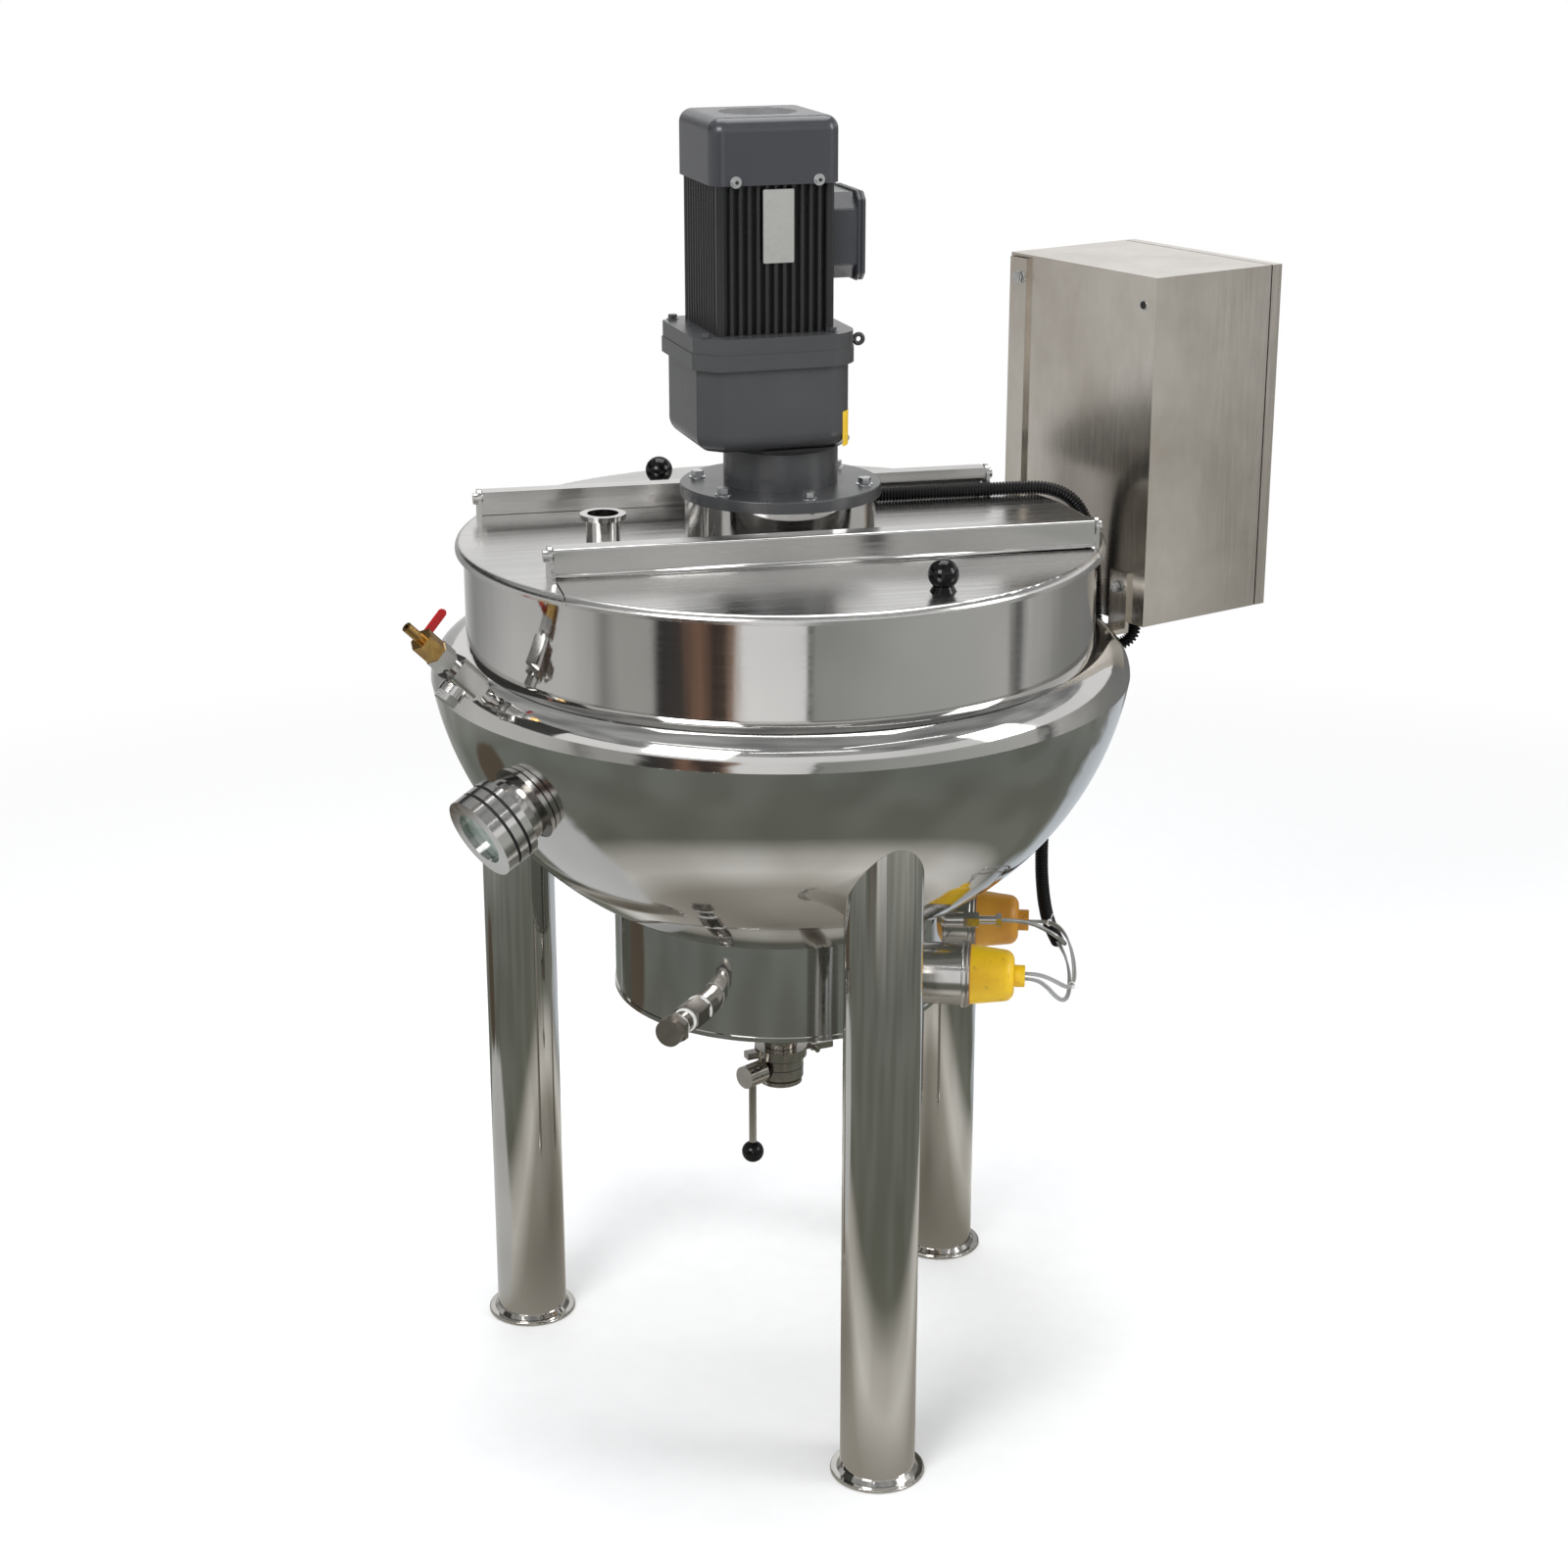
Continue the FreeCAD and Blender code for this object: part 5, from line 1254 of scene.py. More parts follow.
@dataclass
class Cords:
    """The two conduits, the heaters' leads and the probe's braided lead.

    Args:
        motor: Conduit from the terminal box to the cabinet.
        heater: Conduit from the cabinet down to the heaters.
        loop: Twisted leads between the two caps.
        feed: Twisted leads from the conduit to the front cap.
        probe: Braided lead of the probe.
        tie_spots: Middle of each tie from the kettle's axis, in metres.
        tie_axes: Direction of the leads in each tie.
        tie_heads: Way that each tie's head points.
        head_reach: Distance of a head's foot from the tie's middle, in metres.
    """

    motor: CordRun = field(default_factory=lambda: CordRun(
        "motor_conduit_ribbed",
        [(0.05123, 0.06923, 1.312), (0.04966, 0.08917, 1.312), (0.0485, 0.106, 1.299),
         (0.047, 0.115, 1.270), (0.044, 0.118, 1.222), (0.040, 0.117, 1.166),
         (0.038, 0.1155, 1.112), (0.042, 0.115, 1.068), (0.058, 0.116, 1.034),
         (0.092, 0.1166, 1.0155), (0.146, 0.1163, 1.0144), (0.205, 0.1166, 1.0146),
         (0.262, 0.1162, 1.0144), (0.312, 0.115, 1.015), (0.349, 0.112, 1.014),
         (0.378, 0.109, 1.000), (0.395, 0.1065, 0.972), (0.403, 0.104, 0.934),
         (0.406, 0.1028, 0.902), (0.407, 0.1022, 0.874), (0.408, 0.1017, 0.851),
         (0.4115, 0.1006, 0.834), (0.4205, 0.0983, 0.824), (0.434, 0.095, 0.8215),
         (0.4465, 0.0916, 0.8275), (0.453, 0.0898, 0.839), (0.453, 0.0898, 0.851)],
        0.016, 0.868, "object", "hanging", "motor_conduit", Slot.HOSE))
    heater: CordRun = field(default_factory=lambda: CordRun(
        "heater_conduit_ribbed",
        [(0.4106, 0.2049, 0.851), (0.4106, 0.2049, 0.832), (0.405, 0.199, 0.796),
         (0.395, 0.186, 0.745), (0.382, 0.164, 0.698), (0.367, 0.137, 0.652),
         (0.352, 0.106, 0.607), (0.340, 0.074, 0.565), (0.333, 0.042, 0.531),
         (0.330, 0.013, 0.511), (0.329, -0.012, 0.503), (0.328, -0.034, 0.500)],
        0.016, 0.459, "bare", "hanging", "heater_conduit", Slot.HOSE))
    loop: CordRun = field(default_factory=lambda: CordRun(
        "heater_loop_lead",
        [(0.29684, -0.01334, 0.521), (0.30819, -0.01725, 0.521), (0.318, -0.026, 0.5225),
         (0.323, -0.041, 0.524), (0.324, -0.062, 0.525), (0.324, -0.083, 0.522),
         (0.321, -0.107, 0.515), (0.316, -0.131, 0.506), (0.308, -0.154, 0.499),
         (0.297, -0.172, 0.500), (0.284, -0.182, 0.509), (0.269, -0.183, 0.519),
         (0.25438, -0.17961, 0.5242), (0.24114, -0.17505, 0.5242)],
        0.0052, 0.245, "object", "hanging", "heater_leads", Slot.LEAD))
    feed: CordRun = field(default_factory=lambda: CordRun(
        "heater_feed_lead",
        [(0.328, -0.034, 0.500), (0.3275, -0.046, 0.4984), (0.327, -0.066, 0.494),
         (0.323, -0.091, 0.488), (0.316, -0.116, 0.483), (0.307, -0.140, 0.480),
         (0.297, -0.160, 0.482), (0.287, -0.175, 0.487), (0.276, -0.183, 0.4965),
         (0.266, -0.1835, 0.509), (0.25438, -0.17961, 0.5178),
         (0.24114, -0.17505, 0.5178)],
        0.0052, 0.211, "object", "hanging", "heater_leads", Slot.LEAD))
    probe: CordRun = field(default_factory=lambda: CordRun(
        "probe_lead",
        [(0.2484, -0.06193, 0.545), (0.26101, -0.06508, 0.545), (0.284, -0.070, 0.541),
         (0.302, -0.072, 0.531), (0.318, -0.069, 0.519), (0.328, -0.060, 0.508),
         (0.33126, -0.0466, 0.5023), (0.3318, -0.0347, 0.5039)],
        0.0052, 0.120, "object", "hanging", "heater_leads", Slot.LEAD))
    tie_spots: tuple[Vector, ...] = (Vector((0.3185, -0.0275, 0.5226)),
                                     Vector((0.3025, -0.1632, 0.4996)))
    tie_axes: tuple[Vector, ...] = (Vector((0.6, -0.8, 0.05)),
                                    Vector((-0.52, -0.85, 0.05)))
    tie_heads: tuple[Vector, ...] = (Vector((0.5, 0.35, 0.79)),
                                     Vector((0.80, -0.45, -0.40)))
    head_reach: float = 0.0032

    def ties(self, material: bpy.types.Material) -> None:
        """Binds the leads with two ties.

        Args:
            material: Finish of the ties.
        """
        spots = [AXIS + spot for spot in self.tie_spots]
        RingForm("cable_ties", spots, list(self.tie_axes), 3.6, 0.7, 1.3).build(
            material, Slot.LEAD)
        heads = [spot + way.normalized() * self.head_reach
                 for spot, way in zip(spots, self.tie_heads)]
        Screws("tie_heads", heads, list(self.tie_heads), 0.8, 6.0, 2.0, 4, 2.6).build(
            material, Slot.LEAD)

    def build(self, finishes: Finishes) -> None:
        """Makes every cord.

        Args:
            finishes: The kettle's finishes.
        """
        self.motor.corrugated(finishes.hose)
        self.heater.corrugated(finishes.hose)
        self.loop.pair(finishes.lead, 0.045)
        self.feed.pair(finishes.lead, -0.06)
        self.probe.corrugated(finishes.braid, 0.0012, 0.00022)
        self.ties(finishes.tie)


@dataclass
class Vessel:
    """Wall, jacket, drum and legs.

    Args:
        mirrors: The nodes that are polished to a mirror.
        tubes: The nodes of bright tube.
    """

    mirrors: tuple[str, ...] = ("jacket_bowl", "jacket_shoulder", "kettle_wall",
                                "inner_bowl", "drum_wall", "drum_bottom", "stirrer")
    tubes: tuple[str, ...] = ("legs",)

    def build(self, finishes: Finishes) -> None:
        """Dresses the vessel's nodes.

        Args:
            finishes: The kettle's finishes.
        """
        dress(finishes.vessel, *self.mirrors)
        dress(finishes.tube, *self.tubes)


@dataclass
class Lid:
    """The bridge with its ferrule, and the two flip lids.

    Args:
        bar_face: Distance of a hinge bar's face from the kettle's axis, in millimetres.
        bar_ends: Ends of the front bar along X, in millimetres.
        foot: Height of the flip lid's plate, in millimetres.
        fold: Radius of the fold at the bar's foot, in millimetres.
        root: How far the fold's inner edge lies inside the plate and bar, in millimetres.
        steps: Number of facets round the fold.
    """

    bar_face: float = 153.0
    bar_ends: Span = (-276.0, 314.0)
    foot: float = 1006.3
    fold: float = 5.0
    root: Span = (0.5, 0.3)
    steps: int = 8

    def fold_strip(self, name: str, way: int, body: Body,
                   material: bpy.types.Material) -> bpy.types.Object:
        """The hollow fold between a flip lid's plate and its hinge bar.

        Args:
            name: Name of the piece.
            way: -1 for the front lid and 1 for the back lid, its half turn.
            body: Body that it moves with.
            material: Its finish.

        Returns:
            The piece.
        """
        turns = [math.radians(90 * step / self.steps) for step in range(self.steps + 1)]
        section = [(self.bar_face + self.fold * (1 - math.sin(turn)),
                    self.foot + self.fold * (1 - math.cos(turn))) for turn in turns]
        section.append((self.bar_face - self.root[0], self.foot - self.root[1]))
        shape = bmesh.new()
        ends = [corners(shape, [place(-x * way, y * way, z) for y, z in section])
                for x in self.bar_ends]
        prism(shape, *ends)
        for face in shape.faces:
            face.smooth = len(face.verts) == 4
        return shape_piece(name, shape, material, body, Slot.STEEL)

    def build(self, finishes: Finishes) -> None:
        """Dresses the lid's nodes and adds the folds.

        Args:
            finishes: The kettle's finishes.
        """
        dress(finishes.lid, "lid_bridge", "front_lid", "back_lid", "hinge_supports")
        dress(finishes.fitting, "lid_ferrule")
        dress(finishes.knob, "front_knob", "back_knob")
        self.fold_strip("front_fold", -1, Body.FRONT_LID, finishes.vessel)
        self.fold_strip("back_fold", 1, Body.BACK_LID, finishes.vessel)


@dataclass
class RibbedStator:
    """The motor's body: a core with corner posts, and cooling ribs on its four sides.

    Args:
        half: Half the width over the ribs, in millimetres.
        core: Half the width of the core, in millimetres.
        bottom: Height of its foot, in millimetres.
        top: Height of its upper end, in millimetres.
        rib_count: Ribs on each side.
        rib_pitch: Distance from rib to rib, in millimetres.
        rib_width: Width of a rib, in millimetres.
        rib_root: How far a rib reaches into the core, in millimetres.
        rib_round: Radius of a rib's edges, in millimetres.
        post: Width of a corner post, in millimetres.
        core_round: Radius of the core's upright edges, in millimetres.
        post_round: Radius of a post's upright edges, in millimetres.
    """

    half: float = 64.9
    core: float = 56.0
    bottom: float = 1237.0
    top: float = 1394.0
    rib_count: int = 11
    rib_pitch: float = 9.7
    rib_width: float = 4.3
    rib_root: float = 2.0
    rib_round: float = 1.4
    post: float = 9.5
    core_round: float = 4.0
    post_round: float = 3.2

    def block(self, shape: bmesh.types.BMesh, drive: "Drive", wide: Span, deep: Span,
              round_off: float) -> None:
        """Adds an upright block with rounded upright edges.

        Args:
            shape: Mesh that it is added to.
            drive: The drive that places it.
            wide: Its ends along the drive's X, in millimetres.
            deep: Its ends along the drive's Y, in millimetres.
            round_off: Radius of its upright edges, in millimetres.
        """
        (left, right), (front, rear) = wide, deep
        plan = [(left, front), (right, front), (right, rear), (left, rear)]
        low, high = (corners(shape, [drive.spot(x, y, z) for x, y in plan])
                     for z in (self.bottom, self.top))
        prism(shape, low, high)
        uprights = [edge for edge in shape.edges
                    if any(end in low for end in edge.verts)
                    and any(end in high for end in edge.verts)]
        bmesh.ops.bevel(shape, geom=uprights, offset=round_off * MM, segments=4,
                        affect="EDGES", profile=0.5)

    def rib_tree(self, material: bpy.types.Material) -> GeometryTree:
        """Builds the tree that stands a rounded rib on each point.

        Args:
            material: Finish of the ribs.

        Returns:
            The tree.
        """
        tree = GeometryTree("stator_ribs_tree", Rib_Width=self.rib_width * MM,
                            Rib_Depth=(self.half - self.core + self.rib_root) * MM,
                            Rib_Length=(self.top - self.bottom) * MM,
                            Rib_Round=self.rib_round * MM)
        outline = tree.node("GeometryNodeCurvePrimitiveQuadrilateral",
                            Width=tree.entry["Rib Width"], Height=tree.entry["Rib Depth"])
        soft = tree.node("GeometryNodeFilletCurve", mode="POLY", Curve=outline.outputs[0],
                         Count=3, Radius=tree.entry["Rib Round"])
        reach = tree.node("ShaderNodeCombineXYZ", Z=tree.entry["Rib Length"])
        line = tree.node("GeometryNodeCurvePrimitiveLine", End=reach.outputs[0])
        rib = tree.sweep(line.outputs[0], soft.outputs[0])
        tree.finish(tree.instances(rib, axis="Y", pivot_axis="Z"), material)
        return tree

    def build(self, drive: "Drive", material: bpy.types.Material) -> None:
        """Makes the core with its posts, and the ribs.

        Args:
            drive: The drive that places it.
            material: Its finish.
        """
        shape = bmesh.new()
        self.block(shape, drive, (-self.core, self.core), (-self.core, self.core),
                   self.core_round)
        sides = ((-self.half, self.post - self.half), (self.half - self.post, self.half))
        for wide in sides:
            for deep in sides:
                self.block(shape, drive, wide, deep, self.post_round)
        shape_piece("motor_core", shape, material, Body.FRAME, Slot.MOTOR, "motor_body")
        middle = (self.half + self.core - self.rib_root) / 2
        spots, ways = [], []
        for x, y in ((0, -1), (1, 0), (0, 1), (-1, 0)):
            for step in range(self.rib_count):
                side = (step - (self.rib_count - 1) / 2) * self.rib_pitch
                spots.append(drive.spot(x * middle - y * side, y * middle + x * side,
                                        self.bottom))
                ways.append(drive.way(x, y))
        ribs = self.rib_tree(material).apply(
            "motor_ribs", facing_points("motor_ribs", spots, ways))
        keep_piece(ribs, Body.FRAME, Slot.MOTOR, "motor_body")


@dataclass
class Drive:
    """Stool, gear unit and motor.

    Args:
        turn: Turn of the gear unit and motor on the flange, in degrees.
        offset: Sideways place of the motor's axis on the turned gear unit, in millimetres.
        flange_bolts: Number of bolts round the flange.
        flange_pitch: Radius of their circle, in millimetres.
        flange_start: Bearing of the first bolt, in degrees.
        flange_top: Height of the flange's upper face, in millimetres.
        plate_reach: Distance of the rating plate's back from the motor's axis, in
            millimetres.
        plate_spot: Place of its middle across and up, in millimetres.
        plate_size: Its width and height, in millimetres.
        plate_edge: Its thickness and the radius of its corners, in millimetres.
        cover_half: Half the width of the fan cover, in millimetres.
        screw_side: Sideways place of the fan cover's screws, in millimetres.
        screw_height: Their height, in millimetres.
        gear_top: Height of the gear cover's upper face, in millimetres.
        gear_ends: Ends of the gear cover's screws along X, in millimetres.
        gear_half: Half the distance between them along Y, in millimetres.
        label_centre: Axis of the gear housing's round corner, in millimetres.
        label_faces: Outer and inner radius of the label, in millimetres.
        label_heights: Heights of the label's upper and lower edge, in millimetres.
        label_turns: Bearing of the label's start and its step, in degrees.
        label_steps: Number of the label's facets.
        box_layers: Start, end, half width, lip and corner cut of each layer of the
            terminal box, in millimetres.
        box_inset: How far the box's body stays inside its node's height, in millimetres.
        box_round: Radius of its edges, in millimetres.
    """

    turn: float = 4.5
    offset: float = -25.0
    flange_bolts: int = 6
    flange_pitch: float = 94.0
    flange_start: float = 36.0
    flange_top: float = 1064.0
    plate_reach: float = 65.35
    plate_spot: Span = (2.6, 1350.6)
    plate_size: Span = (34.0, 76.6)
    plate_edge: Span = (0.5, 1.5)
    cover_half: float = 71.0
    screw_side: float = 45.5
    screw_height: float = 1398.0
    gear_top: float = 1237.0
    gear_ends: Span = (-78.0, 62.0)
    gear_half: float = 66.0
    label_centre: Span = (52.0, -44.5)
    label_faces: Span = (34.35, 34.05)
    label_heights: Span = (1151.0, 1113.0)
    label_turns: Span = (-52.0, 4.0)
    label_steps: int = 13
    box_layers: tuple[tuple[float, float, float, float, float], ...] = (
        (65.0, 98.0, 45.0, 0.0, 16.0), (97.0, 100.5, 47.0, 2.0, 8.0),
        (100.0, 101.8, 45.0, 0.0, 7.0), (101.5, 105.9, 46.6, 1.6, 8.0))
    box_inset: float = 2.0
    box_round: float = 0.8

    def way(self, x: float, y: float, z: float = 0.0) -> Vector:
        """A direction of the turned drive."""
        return Matrix.Rotation(math.radians(self.turn), 3, "Z") @ Vector((x, y, z))

    def spot(self, x: float, y: float, z: float) -> Vector:
        """A point given in the turned drive's own millimetres, from the motor's axis."""
        return place(*self.way(x + self.offset, y, z))

    def label(self, material: bpy.types.Material) -> bpy.types.Object:
        """The bare label that wraps the gear housing's round corner.

        Args:
            material: Its finish.

        Returns:
            The piece.
        """
        start, pitch = self.label_turns
        ways = [outward(start + pitch * step) for step in range(self.label_steps + 1)]
        shape = bmesh.new()
        rows = [corners(shape, [self.spot(self.label_centre[0] + radius * way.x,
                                          self.label_centre[1] + radius * way.y, height)
                                for way in ways])
                for radius in self.label_faces for height in self.label_heights]
        top, low, under_top, under_low = rows
        sections = [list(section) for section in zip(top, low, under_low, under_top)]
        for first, second in zip(sections, sections[1:]):
            wall(shape, first, second)
        for end in (sections[0], sections[-1]):
            shape.faces.new(end)
        return shape_piece("gear_label", shape, material, Body.FRAME, Slot.CAP)

    def terminal(self, material: bpy.types.Material) -> bpy.types.Object:
        """The terminal box with bevelled edges and its stepped cover.

        Args:
            material: Its finish.

        Returns:
            The piece.
        """
        low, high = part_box("terminal_box")
        bottom, top = low[2] / MM + self.box_inset, high[2] / MM - self.box_inset
        shape = bmesh.new()
        for start, end, half, lip, cut in self.box_layers:
            outline = self.bevelled(half, bottom - lip, top + lip, cut)
            near, far = (corners(shape, [self.spot(x, y, z) for y, z in outline])
                         for x in (start, end))
            edges = {edge for face in prism(shape, near, far) for edge in face.edges}
            bmesh.ops.bevel(shape, geom=list(edges), offset=self.box_round * MM, segments=2,
                            affect="EDGES")
        return shape_piece("terminal_housing", shape, material, Body.FRAME, Slot.MOTOR,
                           "terminal_box")

    def bevelled(self, half: float, bottom: float, top: float, cut: float) -> list[Span]:
        """Outline of a rectangle with its four corners cut off.

        Args:
            half: Half its width along Y.
            bottom: Its lower edge.
            top: Its upper edge.
            cut: Length that each corner loses on both sides.

        Returns:
            The outline's points as Y and Z.
        """
        return [(-half, bottom + cut), (-half + cut, bottom), (half - cut, bottom),
                (half, bottom + cut), (half, top - cut), (half - cut, top),
                (-half + cut, top), (-half, top - cut)]

    def screws(self, finishes: Finishes) -> None:
        """Adds the flange bolts and the screws of both covers, with painted shade in the fan
        cover screws' sockets.

        Args:
            finishes: The kettle's finishes.
        """
        pitch = 360 / self.flange_bolts
        bolts = [bearing(self.flange_pitch, self.flange_start + pitch * step,
                         self.flange_top) for step in range(self.flange_bolts)]
        Screws("flange_bolts", bolts, [UP] * self.flange_bolts, 7.2, 6.0, 9.5).build(
            finishes.zinc, Slot.STEEL)
        sides = [(side, face) for face in (-1, 1) for side in (-self.screw_side,
                                                               self.screw_side)]
        for name, depth, sizes, finish, slot in (
                ("cover_screws", 0.0, (4.6, 3.0, 6.2, 6, 1.2), finishes.zinc, Slot.STEEL),
                # Dark hexagons on the fan cover screws' heads: painted shade of their
                # sockets.
                ("cover_socket_shade", 4.0, (2.2, 0.3, 2.2, 6, 0.2), finishes.recess_shade,
                 Slot.KNOB)):
            Screws(name, [self.spot(x, face * (self.cover_half + depth), self.screw_height)
                          for x, face in sides],
                   [self.way(0, face) for _, face in sides], *sizes).build(finish, slot)
        ends = [self.spot(x, y, self.gear_top) for x in self.gear_ends
                for y in (-self.gear_half, self.gear_half)]
        Screws("gear_cover_screws", ends, [UP] * len(ends), 5.0, 4.0, 6.5, 6, 1.0).build(
            finishes.gear, Slot.STEEL)

    def build(self, finishes: Finishes) -> None:
        """Dresses the drive and adds its screws and plates.

        Args:
            finishes: The kettle's finishes.
        """
        dress(finishes.vessel, "motor_stool")
        dress(finishes.gear, "gearbox_flange", "gearbox_housing", "gearbox_cover")
        RibbedStator().build(self, finishes.stator)
        dress(finishes.cover, "fan_cover")
        self.screws(finishes)
        across, height = self.plate_spot
        PlateForm("motor_plate", self.spot(across, -self.plate_reach, height),
                  self.way(1, 0), UP, *self.plate_size, *self.plate_edge).build(
                      finishes.plate, Slot.STEEL)
        self.label(finishes.label)
        self.terminal(finishes.cover)


@dataclass
class Fittings:
    """Drain, oil fittings, sight glass, vent and heaters.

    Args:
        heater_angle: Bearing of the heaters' axes, in degrees.
        heater_spread: Distance of each heater's axis from the kettle's, in millimetres.
        heater_height: Height of the heaters' axes, in millimetres.
        cap_start: Distance from the kettle's axis to the caps' foot, in millimetres.
        joint_start: Distance from the kettle's axis to the dull joints, in millimetres.
        bead_start: Distance from the kettle's axis to the bright beads, in millimetres.
        spout_end: Distance from the kettle's axis to the spouts' mouths, in millimetres.
        nipple_angle: Bearing of the oil nipple, in degrees.
        nipple_height: Height of the oil nipple, in millimetres.
        thread_ends: Distances from the kettle's axis to the taped threads, in millimetres.
        root_end: Distance from the kettle's axis to the tape at its root, in millimetres.
        clamp_faces: Heights of the valve body's two joints, in millimetres.
        valve_angle: Bearing of the drain valve's stem, in degrees.
        valve_height: Height of the drain valve's stem, in millimetres.
        hub_radius: Radius of the valve's hub where its holes are, in millimetres.
        hub_rows: Distances of the holes along the stem, in millimetres.
        hub_turns: Their places round the hub, in degrees above level.
    """

    heater_angle: float = -19.0
    heater_spread: float = 87.0
    heater_height: float = 521.0
    cap_start: float = 224.0
    joint_start: float = 220.4
    bead_start: float = 216.4
    spout_end: float = 285.0
    nipple_angle: float = -128.0
    nipple_height: float = 513.0
    thread_ends: Span = (245.0, 263.0)
    root_end: float = 211.5
    clamp_faces: Span = (361.5, 373.0)
    valve_angle: float = -148.0
    valve_height: float = 367.0
    hub_radius: float = 13.45
    hub_rows: Span = (44.0, 53.0)
    hub_turns: Span = (-20.0, 28.0)

    def heater_spots(self, along: float) -> list[Vector]:
        """A point on each heater's axis.

        Args:
            along: Distance out from the kettle's axis, in millimetres.

        Returns:
            The front heater's point and the back one's, in the frame, in metres.
        """
        middle = bearing(along, self.heater_angle, self.heater_height)
        spread = outward(self.heater_angle + 90) * self.heater_spread * MM
        return [middle - spread, middle + spread]

    def hub_hole_shade(self, material: bpy.types.Material) -> None:
        """Adds dark discs on the valve's hub: painted shade of its small holes.

        Args:
            material: Their finish.
        """
        stem, side = outward(self.valve_angle), outward(self.valve_angle + 90)
        centre = AXIS + UP * self.valve_height * MM
        turns = [math.radians(rise) for rise in self.hub_turns]
        holes = [(along, side * math.cos(turn) + UP * math.sin(turn))
                 for along in self.hub_rows for turn in turns]
        spots = [centre + (stem * along + face * self.hub_radius) * MM
                 for along, face in holes]
        Screws("hub_hole_shade", spots, [face for _, face in holes], 2.3, 0.25, 2.3, 16,
               0.1).build(material, Slot.KNOB, Body.DRAIN_LEVER)

    def small_parts(self, finishes: Finishes) -> None:
        """Adds the seals, the painted shade in the spout mouths, joints and thread tape.

        Args:
            finishes: The kettle's finishes.
        """
        ways = [outward(self.heater_angle)] * 2
        spouts = self.heater_spots(self.spout_end)
        # Dark discs in the spouts' mouths: painted shade of their openings.
        Screws("spout_mouth_shade", spouts, ways, 9.6, 0.3, 9.6, 24, 0.2).build(
            finishes.recess_shade, Slot.KNOB)
        threads = [bearing(along, self.nipple_angle, self.nipple_height)
                   for along in self.thread_ends]
        root = [bearing(self.root_end, self.nipple_angle, self.nipple_height)]
        out = outward(self.nipple_angle)
        joints = [place(0, 0, height) for height in self.clamp_faces]
        for name, spots, axes, sizes, finish, slot in (
                ("cap_seals", self.heater_spots(self.cap_start), ways, (34.6, 1.2, 1.3),
                 finishes.seal, Slot.CAP),
                ("spout_rims", spouts, ways, (11.2, 1.3, 1.0), finishes.yellow, Slot.CAP),
                ("heater_joints", self.heater_spots(self.joint_start), ways,
                 (36.2, 1.2, 2.2), finishes.cast, Slot.STEEL),
                ("heater_beads", self.heater_spots(self.bead_start), ways,
                 (37.2, 0.9, 1.1), finishes.vessel, Slot.STEEL),
                ("thread_tape", threads, [out, out], (12.1, 1.6, 3.0), finishes.tape,
                 Slot.STEEL),
                ("root_tape", root, [out], (15.0, 1.0, 2.6), finishes.tape, Slot.STEEL),
                ("valve_joints", joints, [UP, UP], (26.6, 0.7, 0.8), finishes.gasket,
                 Slot.GASKET)):
            RingForm(name, spots, axes, *sizes).build(finish, slot)
        self.hub_hole_shade(finishes.recess_shade)

    def build(self, finishes: Finishes) -> None:
        """Dresses the fittings' nodes and adds their small parts.

        Args:
            finishes: The kettle's finishes.
        """
        dress(finishes.fitting, "heater_tubes", "sight_rings", "vent_fitting")
        dress(finishes.worn, "outlet_pipe", "outlet_clamp", "valve_body", "valve_lever",
              "sump_nipple")
        for finish, node in (
                (finishes.cast, "sump_cap"), (finishes.knob, "valve_knob"),
                (finishes.yellow, "heater_caps"), (finishes.gasket, "sight_gaskets"),
                (finishes.pane, "sight_glass"), (finishes.brass, "vent_valve"),
                (finishes.red, "vent_lever")):
            dress(finish, node)
        self.small_parts(finishes)


